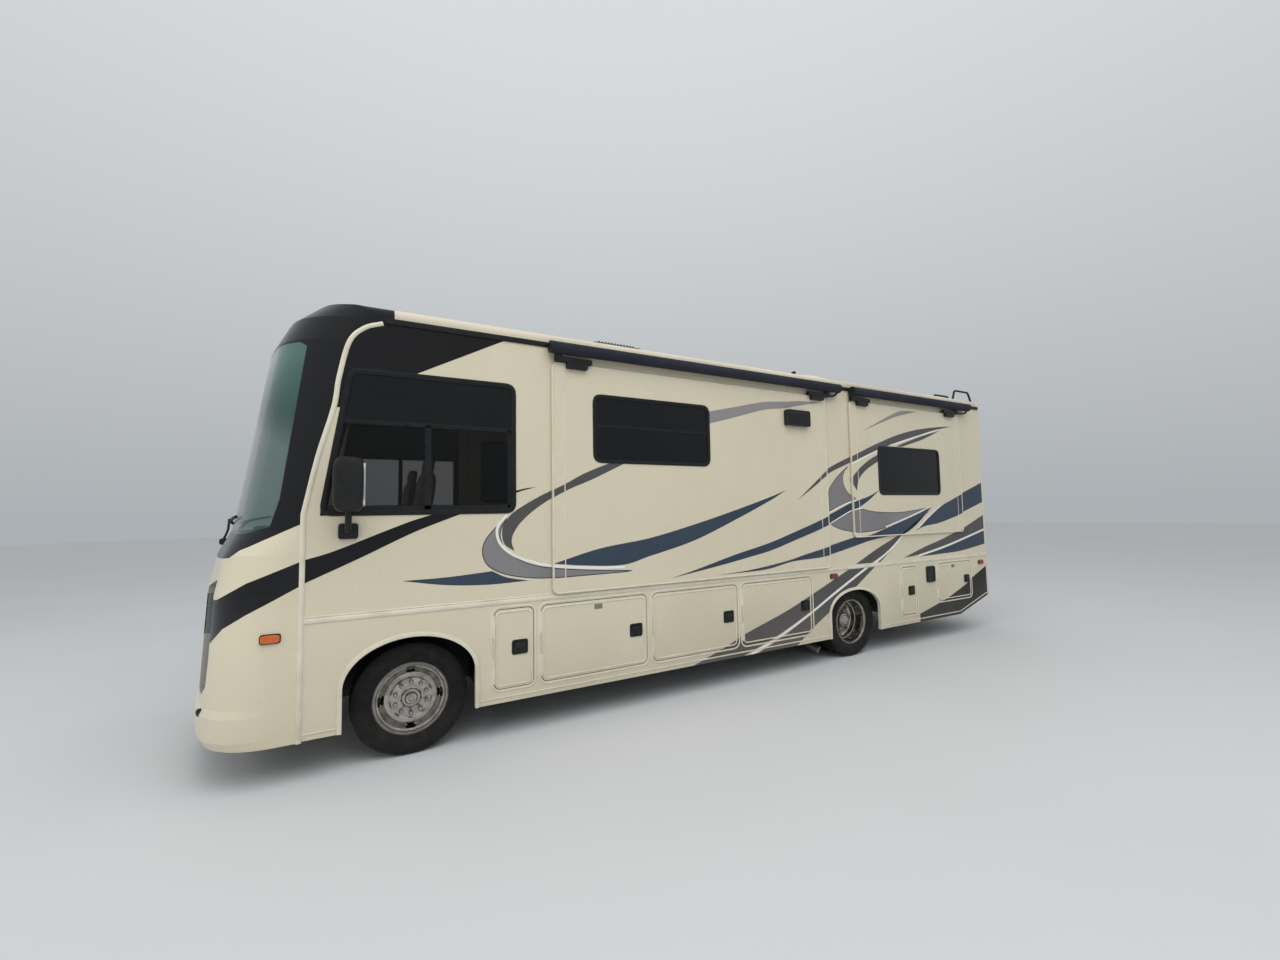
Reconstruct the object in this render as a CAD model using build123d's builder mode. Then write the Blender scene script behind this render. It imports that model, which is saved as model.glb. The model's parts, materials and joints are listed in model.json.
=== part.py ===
"""Motorhome with a full-width box body, two slide-out rooms and dual rear wheels.

Millimetres, +X forward, +Y to the driver's side, +Z up. The origin lies on the
ground, midway along the vehicle and on its centreline.
"""
import math
import os

from build123d import *

os.makedirs("parts", exist_ok=True)

# Overall sizes and where the axles stand
WHEELBASE = 4826
FRONT_OVERHANG = 1423
REAR_OVERHANG = 2829
REAR_CAP_THICKNESS = 45
LADDER_REACH = 90
BODY_WIDTH = 2566
HALF = BODY_WIDTH / 2
front_axle = (WHEELBASE + REAR_OVERHANG + REAR_CAP_THICKNESS + LADDER_REACH - FRONT_OVERHANG) / 2
rear_axle = front_axle - WHEELBASE
wall_end = rear_axle - REAR_OVERHANG

# Heights above the ground
SKIRT_BOTTOM = 272
REAR_SKIRT_BOTTOM = 470
SKIRT_RISE_START = 2134
FLOOR_TOP = 1100
FLOOR_THICKNESS = 80
BELT = FLOOR_TOP - 38
EAVES = 3180
ROOF_SIDE = 60
ROOF_CORNER = 62
CROWN = 3385
floor_under = FLOOR_TOP - FLOOR_THICKNESS

# Shell thicknesses and running gaps
WALL = 45
SKIRT = 30
GLASS = 6
DOOR_GAP = 6
SLIDE_GAP = 12
SEAT_GAP = 0.3
wall_inner = HALF - WALL
skirt_inner = HALF - SKIRT

# The seam where the side walls meet the front cap
SEAM_X = 692
SEAM_BEND_HEIGHT = 1772
SEAM_TOP_X = 424
SEAM_TOP_HEIGHT = 3004
SEAM_ARC = (345, 3119)
SEAM_EAVES_X = 215
ROOF_JOINT_X = 148

# Wheels and tyres
TYRE_RADIUS = 405
TYRE_WIDTH = 245
TREAD_WIDTH = 200
BEAD_RADIUS = 250
RIM_WIDTH = 196
TRACK_HALF = 1100
DUAL_SPACING = 280
KINGPIN_Y = 960
KINGPIN_RADIUS = 22
SPINDLE_RADIUS = 40

# Wheel arches: half width, height of the upright sides, crown height
FRONT_ARCH = (446, 560, 870)
REAR_ARCH = (430, 540, 790)

# Chassis
RAIL_SPACING = 390
RAIL_FLANGE = 70
RAIL_BOTTOM = 560
RAIL_HEIGHT = 230
RAIL_FRONT = 1080
rail_top = RAIL_BOTTOM + RAIL_HEIGHT


def write(part, name):
    """Label a finished piece and write it as one STEP file."""
    part.label = name
    export_step(part, f"parts/{name}.step")


def box_between(low, high):
    """A box from its lowest to its highest corner, added to the open part."""
    centre = [(a + b) / 2 for a, b in zip(low, high)]
    with Locations(tuple(centre)):
        return Box(*[b - a for a, b in zip(low, high)])


def cut_between(low, high):
    """A box taken out of the open part."""
    centre = [(a + b) / 2 for a, b in zip(low, high)]
    with Locations(tuple(centre)):
        return Box(*[b - a for a, b in zip(low, high)], mode=Mode.SUBTRACT)


# Plan outline of the front cap
CAP_REAR_X = front_axle - 400
CAP_FRONT_RADIUS = 3200
# columns: height, front on the centreline ahead of the axle, corner radius
CAP_SECTIONS = [
    (265, 1392, 430),
    (320, 1423, 430),
    (470, 1423, 430),
    (520, 1402, 430),
    (885, 1386, 430),
    (1240, 1369, 430),
    (1503, 1318, 440),
    (1669, 1238, 450),
    (3010, 1030, 490),
    (3191, 945, 500),
    (3320, 790, 500),
    (3400, 560, 500),
]


def cap_section(height, front, corner, inset):
    """One plan outline of the cap: two sides, two corner arcs and the front arc."""
    side = HALF - inset
    small = corner - inset
    large = CAP_FRONT_RADIUS - inset
    front_x = front_axle + front - inset
    large_x = front_x - large
    small_y = side - small
    small_x = large_x + math.sqrt((large - small) ** 2 - small_y ** 2)
    reach = large / (large - small)
    tangent = (large_x + (small_x - large_x) * reach, small_y * reach)
    angle = math.atan2(tangent[1] - small_y, tangent[0] - small_x)
    middle_angle = (angle + math.pi / 2) / 2
    middle = (small_x + small * math.cos(middle_angle), small_y + small * math.sin(middle_angle))
    with BuildSketch(Plane.XY.offset(height)) as outline:
        with BuildLine():
            Polyline((small_x, side), (CAP_REAR_X, side), (CAP_REAR_X, -side), (small_x, -side))
            ThreePointArc((small_x, side), middle, tangent)
            ThreePointArc(tangent, (front_x, 0), (tangent[0], -tangent[1]))
            ThreePointArc((small_x, -side), (middle[0], -middle[1]), (tangent[0], -tangent[1]))
        make_face()
    return outline.sketch


def cap_loft(inset):
    """The cap's solid outer form, drawn in by an inset."""
    with BuildPart() as form:
        for height, front, corner in CAP_SECTIONS:
            add(cap_section(height, front, corner, inset))
        loft(ruled=True)
    return form.part


def body_section():
    """The rounded and crowned cross-section of the roof, on the YZ plane."""
    edge = EAVES + ROOF_SIDE
    with BuildSketch(Plane.YZ) as section:
        with BuildLine():
            Polyline((-HALF, edge), (-HALF, 0), (HALF, 0), (HALF, edge))
            ThreePointArc((HALF, edge), (HALF - 0.293 * ROOF_CORNER, edge + 0.707 * ROOF_CORNER),
                          (HALF - ROOF_CORNER, edge + ROOF_CORNER))
            ThreePointArc((HALF - ROOF_CORNER, edge + ROOF_CORNER), (0, CROWN),
                          (ROOF_CORNER - HALF, edge + ROOF_CORNER))
            ThreePointArc((-HALF, edge), (0.293 * ROOF_CORNER - HALF, edge + 0.707 * ROOF_CORNER),
                          (ROOF_CORNER - HALF, edge + ROOF_CORNER))
        make_face()
    return section.sketch_local


def seam_outline(rear):
    """Side profile of the walls ahead of a rear station, up to the seam."""
    x = front_axle
    with BuildSketch(Plane.XZ) as outline:
        with BuildLine():
            Polyline((rear, 0), (x + SEAM_X, 0), (x + SEAM_X, SEAM_BEND_HEIGHT),
                     (x + SEAM_TOP_X, SEAM_TOP_HEIGHT))
            ThreePointArc((x + SEAM_TOP_X, SEAM_TOP_HEIGHT), (x + SEAM_ARC[0], SEAM_ARC[1]),
                          (x + SEAM_EAVES_X, EAVES))
            Polyline((x + SEAM_EAVES_X, EAVES), (x + ROOF_JOINT_X, EAVES),
                     (x + ROOF_JOINT_X, CROWN + 100), (rear, CROWN + 100), (rear, 0))
        make_face()
    return outline.sketch_local


# Windows of the side walls, from the front axle
CAB_WINDOW = [(597, 1761), (588, 1880), (440, 2817), (-760, 2817), (-760, 1761)]
WINDOW_CORNER = 60
# columns: front x, rear x, bottom, top, all on the passenger's side
rear_from_front = rear_axle - front_axle
RIGHT_WINDOWS = [
    (-1950, -2950, 2194, 2802),
    (-3500, -4200, 2350, 2802),
    (rear_from_front - 700, rear_from_front - 1750, 1914, 2524),
]

# Slide-out rooms on the driver's side, from the front axle
# columns: name, front of the flange, its rear, flange bottom, flange top, depth,
# window front, window rear, window bottom, window top
end_from_front = wall_end - front_axle
SLIDES = [
    ("front", -1066, rear_from_front + 426, FLOOR_TOP - 25, 3050, 850, -1447, -2718, 2194, 2802),
    ("rear", rear_from_front + 6, end_from_front + 545, FLOOR_TOP + 300, 3050, 650,
     rear_from_front - 484, rear_from_front - 1770, 1914, 2524),
]
FLANGE_LAP = 45
FLANGE_THICKNESS = 20
FLANGE_SEAL = 5
FLANGE_CORNER = 60
SLIDE_WALL = 40
# The range hood's outlet on the front room: front x, rear x, bottom, top, reach
RANGE_VENT = (-3744, -4100, 2676, 2850)
RANGE_VENT_REACH = 45
TOPPER_RADIUS = 53
TOPPER_HEIGHT = 3163
# columns: name, front end of the roller, its rear end, front bracket x, rear bracket x
TOPPERS = [
    ("front", -1040, rear_from_front + 226, -1290, rear_from_front + 580),
    ("rear", rear_from_front - 4, end_from_front + 355, rear_from_front - 200, end_from_front + 800),
]

# Storage doors, from the front axle
SPAN_FRONT = -973
SPAN_GAP = 62
span_rear = rear_from_front + 726
span_door = (SPAN_FRONT - span_rear - 2 * SPAN_GAP) / 3
second_front = SPAN_FRONT - span_door - SPAN_GAP
third_front = second_front - span_door - SPAN_GAP
door_top = floor_under - 22
# columns: name, side, front x, rear x, bottom, top
STORAGE = [
    ("left_1", 1, -588, -910, 375, door_top),
    ("left_2", 1, SPAN_FRONT, SPAN_FRONT - span_door, 375, door_top),
    ("left_3", 1, second_front, second_front - span_door, 375, door_top),
    ("left_4", 1, third_front, span_rear, 375, door_top),
    ("left_5", 1, rear_from_front - 874, rear_from_front - 1180, 385, door_top - 8),
    ("left_6", 1, rear_from_front - 1644, rear_from_front - 2434, 490, door_top - 8),
    ("right_1", -1, second_front, second_front - span_door, 375, door_top),
    ("right_2", -1, third_front, span_rear, 375, door_top),
    ("right_3", -1, rear_from_front - 874, rear_from_front - 1874, 385, door_top - 8),
]
STORAGE_CORNER = 50
STORAGE_DEPTH = 640
STORAGE_SHEET = 12
HINGE_RADIUS = 6
HINGE_PROUD = 2
HINGE_LEAF = 30

# Entry door and its step, passenger's side, from the front axle
ENTRY_FRONT = -850
ENTRY_REAR = -1550
ENTRY_BOTTOM = 640
ENTRY_TOP = 2930
ENTRY_CORNER = 60
WELL_DEPTH = 440
STEP_DEPTH = 300
STEP_TOP = 560
STEP_SIDE_GAP = 40
# columns: front x, rear x, bottom, top
ENTRY_WINDOW = (-1020, -1390, 1900, 2700)


def arch_cut(axle, arch):
    """Wheel arch outline in side view: upright sides under an elliptical crown."""
    half_width, shoulder, crown = arch
    rise = crown - shoulder
    with BuildSketch() as outline:
        with Locations((axle, shoulder)):
            Ellipse(half_width, rise)
        with Locations((axle, shoulder / 2)):
            Rectangle(2 * half_width, shoulder)
    return outline.sketch


def opening(front, rear, bottom, top, radius, grow=0):
    """A rounded rectangle in side view, its ends measured from the front axle."""
    with BuildSketch() as outline:
        with Locations((front_axle + (front + rear) / 2, (bottom + top) / 2)):
            RectangleRounded(front - rear + 2 * grow, top - bottom + 2 * grow, radius + grow)
    return outline.sketch


def cab_window():
    """The cab side window in side view, with its raked front edge."""
    with BuildSketch() as outline:
        with BuildLine():
            Polyline(*[(front_axle + x, z) for x, z in CAB_WINDOW], close=True)
        make_face()
        fillet(outline.vertices().group_by(Axis.X)[0], WINDOW_CORNER)
    return outline.sketch


def slab(outline, side, inner, outer):
    """A side-view outline made solid between two distances from the centreline."""
    start = outer if side > 0 else -inner
    with BuildPart() as solid:
        with BuildSketch(Plane.XZ.offset(-start)):
            add(outline)
        extrude(amount=outer - inner)
    return solid.part


# Solids that the cap, the walls and the roof are cut from
with BuildPart() as body_bar:
    with BuildSketch(Plane.YZ.offset(wall_end - REAR_CAP_THICKNESS)):
        add(body_section())
    extrude(amount=front_axle + FRONT_OVERHANG + 100 - wall_end + REAR_CAP_THICKNESS)

with BuildPart() as seam_block:
    with BuildSketch(Plane.XZ.offset(-HALF - 10)):
        add(seam_outline(CAP_REAR_X - 100))
    extrude(amount=BODY_WIDTH + 20)

# Glass area of the windshield in side view, from the front axle
SHIELD_PROFILE = [(1500, 1650), (1034, 1650), (885, 1692), (833, 1879), (700, 2960), (740, 2990),
                  (1500, 3010)]
with BuildPart() as shield_block:
    with BuildSketch(Plane.XZ.offset(-HALF - 10)):
        with BuildLine():
            Polyline(*[(front_axle + x, z) for x, z in SHIELD_PROFILE], close=True)
        make_face()
    extrude(amount=BODY_WIDTH + 20)

# Front face openings in front view: distance from the centreline, height
GRILLE_HALF = [(0, 1250), (600, 1250), (600, 560), (0, 540)]
LAMP_HALF = [(620, 1262), (1000, 1342), (1010, 1210), (1020, 835), (1004, 640), (860, 560), (620, 560)]
GRILLE_RECESS = 28
GRILLE_SHEET = 12
GRILLE_BARS = 7
BAR_HEIGHT = 34
LAMP_RECESS = 4
LAMP_SHELL = 20


def front_block(points, side):
    """A front-view outline run back through the cap's nose."""
    with BuildPart() as block:
        with BuildSketch(Plane.YZ.offset(front_axle + 1000)):
            with BuildLine():
                Polyline(*[(side * y, z) for y, z in points], close=True)
            make_face()
        extrude(amount=500)
    return block.part


with BuildPart() as cap_core:
    add(cap_loft(WALL))
    cut_between((CAP_REAR_X - 10, -HALF, EAVES), (front_axle + FRONT_OVERHANG, HALF, CROWN + 100))

with BuildPart() as front_cap:
    add(cap_loft(0))
    add(cap_core.part, mode=Mode.SUBTRACT)
    add(body_bar.part, mode=Mode.INTERSECT)
    add(seam_block.part, mode=Mode.SUBTRACT)
    add(shield_block.part, mode=Mode.SUBTRACT)
    for side in (1, -1):
        add(front_block(GRILLE_HALF, side), mode=Mode.SUBTRACT)
        add(front_block(LAMP_HALF, side), mode=Mode.SUBTRACT)
write(front_cap.part, "front_cap")

with BuildPart() as windshield:
    add(cap_loft(0))
    add(cap_loft(GLASS), mode=Mode.SUBTRACT)
    add(shield_block.part, mode=Mode.INTERSECT)
write(windshield.part, "windshield")

with BuildPart() as grille_shell:
    add(cap_loft(GRILLE_RECESS))
    add(cap_loft(GRILLE_RECESS + GRILLE_SHEET), mode=Mode.SUBTRACT)
with BuildPart() as bar_shell:
    add(cap_loft(LAMP_RECESS))
    add(cap_loft(GRILLE_RECESS), mode=Mode.SUBTRACT)
with BuildPart() as grille_area:
    add(front_block(GRILLE_HALF, 1))
    add(front_block(GRILLE_HALF, -1))
with BuildPart() as bar_stack:
    lowest = GRILLE_HALF[2][1] + BAR_HEIGHT
    pitch = (GRILLE_HALF[1][1] - lowest) / GRILLE_BARS
    for index in range(GRILLE_BARS):
        base = lowest + index * pitch
        box_between((front_axle + 1000, -GRILLE_HALF[1][0], base),
                    (front_axle + 1500, GRILLE_HALF[1][0], base + BAR_HEIGHT))
    add(bar_shell.part, mode=Mode.INTERSECT)
with BuildPart() as grille:
    add(grille_shell.part)
    add(grille_area.part, mode=Mode.INTERSECT)
    add(bar_stack.part)
write(grille.part, "grille")

with BuildPart() as lamp_shell:
    add(cap_loft(LAMP_RECESS))
    add(cap_loft(LAMP_RECESS + LAMP_SHELL), mode=Mode.SUBTRACT)
with BuildPart() as headlamps:
    add(front_block(LAMP_HALF, 1))
    add(front_block(LAMP_HALF, -1))
    add(lamp_shell.part, mode=Mode.INTERSECT)
write(headlamps.part, "headlamps")


# Side walls above the belt, with the windows, slide openings and entry door cut
def wall_outline(side):
    """Side view of one wall with everything that passes through it cut out."""
    with BuildSketch() as outline:
        add(seam_outline(wall_end))
        length = front_axle + SEAM_X - wall_end
        with Locations((wall_end + length / 2, (BELT + EAVES) / 2)):
            Rectangle(length + 2, EAVES - BELT, mode=Mode.INTERSECT)
        add(cab_window(), mode=Mode.SUBTRACT)
        if side > 0:
            for _, front, rear, bottom, top, *_ in SLIDES:
                add(opening(front, rear, bottom, top, FLANGE_CORNER, SLIDE_GAP - FLANGE_LAP),
                    mode=Mode.SUBTRACT)
        else:
            for front, rear, bottom, top in RIGHT_WINDOWS:
                add(opening(front, rear, bottom, top, WINDOW_CORNER), mode=Mode.SUBTRACT)
            add(opening(ENTRY_FRONT, ENTRY_REAR, ENTRY_BOTTOM, ENTRY_TOP, ENTRY_CORNER),
                mode=Mode.SUBTRACT)
    return outline.sketch


def hinge_relief(side, front, bottom, top):
    """The groove that clears a hinge's knuckles along the front edge of a doorway."""
    with BuildPart() as groove:
        with Locations((front_axle + front - DOOR_GAP / 2, side * (HALF + HINGE_PROUD), (bottom + top) / 2)):
            Cylinder(HINGE_RADIUS + 1, top - bottom)
    return groove.part


for name, side in (("wall_left", 1), ("wall_right", -1)):
    with BuildPart() as wall:
        add(slab(wall_outline(side), side, wall_inner, HALF))
        if side < 0:
            add(hinge_relief(side, ENTRY_FRONT, ENTRY_BOTTOM, ENTRY_TOP - ENTRY_CORNER), mode=Mode.SUBTRACT)
    write(wall.part, name)

with BuildPart() as side_windows:
    for side in (1, -1):
        add(slab(cab_window(), side, HALF - 2 * GLASS, HALF - GLASS))
    for front, rear, bottom, top in RIGHT_WINDOWS:
        add(slab(opening(front, rear, bottom, top, WINDOW_CORNER), -1, HALF - 2 * GLASS, HALF - GLASS))
write(side_windows.part, "side_windows")


# Skirts below the belt
def skirt_outline(side):
    """Side view of one skirt with its arches and storage openings cut out."""
    with BuildSketch() as outline:
        with BuildLine():
            Polyline((front_axle + SEAM_X, BELT), (front_axle + SEAM_X, SKIRT_BOTTOM),
                     (rear_axle - SKIRT_RISE_START, SKIRT_BOTTOM), (wall_end, REAR_SKIRT_BOTTOM),
                     (wall_end, BELT), close=True)
        make_face()
        add(arch_cut(front_axle, FRONT_ARCH), mode=Mode.SUBTRACT)
        add(arch_cut(rear_axle, REAR_ARCH), mode=Mode.SUBTRACT)
        for _, door_side, front, rear, bottom, top in STORAGE:
            if door_side == side:
                add(opening(front, rear, bottom, top, STORAGE_CORNER), mode=Mode.SUBTRACT)
        if side < 0:
            add(opening(ENTRY_FRONT, ENTRY_REAR, 0, ENTRY_TOP, ENTRY_CORNER), mode=Mode.SUBTRACT)
    return outline.sketch


for name, side in (("skirt_left", 1), ("skirt_right", -1)):
    with BuildPart() as skirt:
        add(slab(skirt_outline(side), side, skirt_inner, HALF))
        for _, door_side, front, _, bottom, top in STORAGE:
            if door_side == side:
                add(hinge_relief(side, front, bottom + STORAGE_CORNER, top - STORAGE_CORNER),
                    mode=Mode.SUBTRACT)
        if side < 0:
            add(hinge_relief(side, ENTRY_FRONT, ENTRY_BOTTOM + ENTRY_CORNER, ENTRY_TOP), mode=Mode.SUBTRACT)
    write(skirt.part, name)

# Roof between the cap and the rear cap
with BuildPart() as roof:
    add(body_bar.part)
    cut_between((wall_end - 100, -HALF - 1, -1), (front_axle + 2000, HALF + 1, EAVES))
    cut_between((front_axle + ROOF_JOINT_X, -HALF - 1, 0), (front_axle + 2000, HALF + 1, CROWN + 10))
    cut_between((wall_end - 100, -HALF - 1, 0), (wall_end, HALF + 1, CROWN + 10))
write(roof.part, "roof")

# Rear cap with its bumper moulding
BUMPER_TOP = 640
BUMPER_REACH = 45
BUMPER_INSET = 60
PLATE_WIDTH = 340
PLATE_HEIGHT = 190
PLATE_MIDDLE = 800
PLATE_RECESS = 15
with BuildPart() as rear_cap:
    add(body_bar.part)
    cut_between((wall_end, -HALF - 1, -1), (front_axle + 3000, HALF + 1, CROWN + 10))
    cut_between((wall_end - 100, -HALF - 1, -1), (wall_end + 1, HALF + 1, REAR_SKIRT_BOTTOM))
    box_between((wall_end - REAR_CAP_THICKNESS - BUMPER_REACH, BUMPER_INSET - HALF, REAR_SKIRT_BOTTOM),
                (wall_end - REAR_CAP_THICKNESS, HALF - BUMPER_INSET, BUMPER_TOP))
    with BuildSketch(Plane.YZ.offset(wall_end - REAR_CAP_THICKNESS)):
        with Locations((0, PLATE_MIDDLE)):
            RectangleRounded(PLATE_WIDTH, PLATE_HEIGHT, 20)
    extrude(amount=PLATE_RECESS, mode=Mode.SUBTRACT)
write(rear_cap.part, "rear_cap")

WELL_SHEET = 12
# Entry step that slides out from under the well, in two runners
RUNNER_WEB = 12
STEP_THICKNESS = 30
tread_front = front_axle + ENTRY_FRONT - STEP_SIDE_GAP
tread_rear = front_axle + ENTRY_REAR + STEP_SIDE_GAP
with BuildPart() as entry_step:
    box_between((tread_rear, -skirt_inner, STEP_TOP - STEP_THICKNESS),
                (tread_front, -skirt_inner + STEP_DEPTH, STEP_TOP))
write(entry_step.part, "entry_step")
with BuildPart() as step_runners:
    for edge in (tread_front, tread_rear):
        box_between((edge - RUNNER_WEB, -skirt_inner, STEP_TOP - STEP_THICKNESS - RUNNER_WEB),
                    (edge + RUNNER_WEB, -skirt_inner + STEP_DEPTH, ENTRY_BOTTOM - WELL_SHEET))
    cut_between((tread_rear - SEAT_GAP, -HALF, STEP_TOP - STEP_THICKNESS - SEAT_GAP),
                (tread_front + SEAT_GAP, 0, STEP_TOP + SEAT_GAP))
    cut_between((tread_rear + 1, -HALF, STEP_TOP), (tread_front - 1, 0, ENTRY_BOTTOM))

# Floor, its cab end and the entry well with one inner step
INNER_STEP_TOP = (ENTRY_BOTTOM + FLOOR_TOP) / 2
well_y = HALF - WELL_DEPTH
with BuildPart() as cab_floor:
    add(cap_loft(WALL))
    cut_between((CAP_REAR_X - 10, -HALF, 0), (front_axle + SEAM_X, HALF, CROWN + 100))
    cut_between((front_axle + 1000, -HALF, 0), (front_axle + 2000, HALF, CROWN + 100))
    cut_between((CAP_REAR_X, -HALF, 0), (front_axle + 2000, HALF, floor_under))
    cut_between((CAP_REAR_X, -HALF, FLOOR_TOP), (front_axle + 2000, HALF, CROWN + 100))
with BuildPart() as floor:
    box_between((wall_end, -wall_inner, floor_under), (front_axle + SEAM_X, wall_inner, FLOOR_TOP))
    add(cab_floor.part)
    well_front = front_axle + ENTRY_FRONT
    well_rear = front_axle + ENTRY_REAR
    cut_between((well_rear, -HALF, floor_under - 1), (well_front, -well_y, FLOOR_TOP + 1))
    box_between((well_rear - WELL_SHEET, -wall_inner, ENTRY_BOTTOM - WELL_SHEET),
                (well_front + WELL_SHEET, -well_y + WELL_SHEET, floor_under))
    cut_between((well_rear, -wall_inner - 1, ENTRY_BOTTOM), (well_front, -well_y, floor_under + 1))
    box_between((well_rear, -well_y - 230, ENTRY_BOTTOM), (well_front, -well_y, INNER_STEP_TOP))
    add(step_runners.part)
write(floor.part, "floor")

# Storage trays behind the doors
for name, side in (("storage_left", 1), ("storage_right", -1)):
    with BuildPart() as trays:
        for _, door_side, front, rear, bottom, top in STORAGE:
            if door_side != side:
                continue
            low_y, high_y = sorted((side * (skirt_inner - STORAGE_DEPTH), side * skirt_inner))
            box_between((front_axle + rear - STORAGE_SHEET, low_y, bottom - STORAGE_SHEET),
                        (front_axle + front + STORAGE_SHEET, high_y, floor_under))
            back_low = low_y + STORAGE_SHEET if side > 0 else low_y - 1
            back_high = high_y + 1 if side > 0 else high_y - STORAGE_SHEET
            cut_between((front_axle + rear, back_low, bottom),
                        (front_axle + front, back_high, floor_under + 1))
    write(trays.part, name)

# Storage doors, flush in the skirt, with one hinge knuckle each
for name, side, front, rear, bottom, top in STORAGE:
    door = slab(opening(front, rear, bottom, top, STORAGE_CORNER, -DOOR_GAP), side, skirt_inner, HALF)
    axis_x = front_axle + front - DOOR_GAP / 2
    axis_y = side * (HALF + HINGE_PROUD)
    third = (top - bottom - 2 * STORAGE_CORNER) / 3
    middle = (bottom + top) / 2
    with BuildPart() as storage_door:
        add(door)
        for level in (middle - third, middle + third):
            with Locations((axis_x, axis_y, level)):
                Cylinder(HINGE_RADIUS + 1, third + 2, mode=Mode.SUBTRACT)
        with Locations((axis_x, axis_y, middle)):
            Cylinder(HINGE_RADIUS, third - 2 * SEAT_GAP)
    write(storage_door.part, f"storage_door_{name}")

with BuildPart() as entry_door:
    add(slab(opening(ENTRY_FRONT, ENTRY_REAR, ENTRY_BOTTOM, ENTRY_TOP, ENTRY_CORNER, -DOOR_GAP),
             -1, wall_inner, HALF))
    entry_axis_x = front_axle + ENTRY_FRONT - DOOR_GAP / 2
    entry_axis_y = -(HALF + HINGE_PROUD)
    entry_third = (ENTRY_TOP - ENTRY_BOTTOM - 2 * ENTRY_CORNER) / 3
    entry_middle = (ENTRY_BOTTOM + ENTRY_TOP) / 2
    add(slab(opening(*ENTRY_WINDOW, WINDOW_CORNER), -1, wall_inner - 1, HALF + 1), mode=Mode.SUBTRACT)
    for level in (entry_middle - entry_third, entry_middle + entry_third):
        with Locations((entry_axis_x, entry_axis_y, level)):
            Cylinder(HINGE_RADIUS + 1, entry_third + 2, mode=Mode.SUBTRACT)
    with Locations((entry_axis_x, entry_axis_y, entry_middle)):
        Cylinder(HINGE_RADIUS, entry_third - 2 * SEAT_GAP)
write(entry_door.part, "entry_door")
entry_pane = slab(opening(*ENTRY_WINDOW, WINDOW_CORNER), -1, HALF - 2 * GLASS, HALF - GLASS)
write(entry_pane, "entry_window")

# Fixed hinge knuckles with their leaves on the body side
with BuildPart() as door_hinges:
    doors = [(side, front, bottom, top, STORAGE_CORNER) for _, side, front, _, bottom, top in STORAGE]
    doors.append((-1, ENTRY_FRONT, ENTRY_BOTTOM, ENTRY_TOP, ENTRY_CORNER))
    for side, front, bottom, top, corner in doors:
        third = (top - bottom - 2 * corner) / 3
        middle = (bottom + top) / 2
        knuckle_x = front_axle + front - DOOR_GAP / 2
        knuckle_y = side * (HALF + HINGE_PROUD)
        for level in (middle - third, middle + third):
            with Locations((knuckle_x, knuckle_y, level)):
                Cylinder(HINGE_RADIUS, third)
            leaf_low, leaf_high = sorted((side * HALF, side * (HALF + 3)))
            box_between((knuckle_x, leaf_low, level - third / 2),
                        (knuckle_x + HINGE_LEAF, leaf_high, level + third / 2))
        edge_low, edge_high = sorted((side * (HALF - 12), side * (HALF + 12)))
        cut_between((knuckle_x - 20, edge_low, middle - third / 2),
                    (knuckle_x + 40, edge_high, middle + third / 2))
write(door_hinges.part, "door_hinges")

# Slide-out rooms: open inner end, window in the outer wall, flange over the wall
room_face = HALF + FLANGE_SEAL + FLANGE_THICKNESS
with BuildPart() as slide_seals:
    for _, front, rear, bottom, top, *_ in SLIDES:
        add(slab(opening(front, rear, bottom, top, FLANGE_CORNER, SLIDE_GAP - FLANGE_LAP),
                 1, wall_inner, HALF))
        add(slab(opening(front, rear, bottom, top, FLANGE_CORNER, SEAT_GAP - FLANGE_LAP),
                 1, wall_inner - 1, HALF + 1), mode=Mode.SUBTRACT)
write(slide_seals.part, "slide_seals")

for name, front, rear, bottom, top, depth, *glass in SLIDES:
    with BuildPart() as room:
        add(slab(opening(front, rear, bottom, top, FLANGE_CORNER, -FLANGE_LAP), 1,
                 room_face - depth, room_face))
        add(slab(opening(front, rear, bottom, top, FLANGE_CORNER), 1,
                 HALF + FLANGE_SEAL, room_face))
        cut_between((front_axle + rear + FLANGE_LAP + SLIDE_WALL, room_face - depth - 1,
                     bottom + FLANGE_LAP + SLIDE_WALL),
                    (front_axle + front - FLANGE_LAP - SLIDE_WALL, room_face - WALL,
                     top - FLANGE_LAP - SLIDE_WALL))
        add(slab(opening(*glass, WINDOW_CORNER), 1, room_face - WALL - 1, room_face + 1),
            mode=Mode.SUBTRACT)
        if name == "front":
            add(slab(opening(*RANGE_VENT, 24), 1, room_face, room_face + RANGE_VENT_REACH))
    write(room.part, f"slide_room_{name}")
    pane = slab(opening(*glass, WINDOW_CORNER), 1, room_face - 2 * GLASS, room_face - GLASS)
    write(pane, f"slide_window_{name}")

BRACKET_FOOT = 192
BRACKET_ARM = 200
BRACKET_REACH = 42
BRACKET_BOTTOM = 3000
BRACKET_SEAT = 3048
# Awning rollers over the slide-outs, on brackets from the rooms' outer walls
roller_y = HALF + TOPPER_RADIUS + 12
for name, front, rear, bracket_front, bracket_rear in TOPPERS:
    with BuildPart() as topper:
        roller_middle = (front_axle + (front + rear) / 2, roller_y, TOPPER_HEIGHT)
        with Locations(Plane(origin=roller_middle, z_dir=(1, 0, 0))):
            Cylinder(TOPPER_RADIUS, front - rear)
        for station, way in ((bracket_front, 1), (bracket_rear, -1)):
            middle = front_axle + station
            box_between((middle - BRACKET_FOOT / 2, room_face, BRACKET_BOTTOM),
                        (middle + BRACKET_FOOT / 2, room_face + BRACKET_REACH, BRACKET_SEAT))
            arm_end = middle + way * BRACKET_ARM
            near, far = sorted((middle - way * BRACKET_ARM * 0.6, arm_end))
            box_between((near, room_face, BRACKET_SEAT), (far, room_face + BRACKET_REACH, BRACKET_SEAT + 44))
            near, far = sorted((arm_end, arm_end - way * 60))
            box_between((near, room_face, BRACKET_SEAT), (far, room_face + BRACKET_REACH, TOPPER_HEIGHT))
    write(topper.part, f"slide_awning_{name}")

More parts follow.
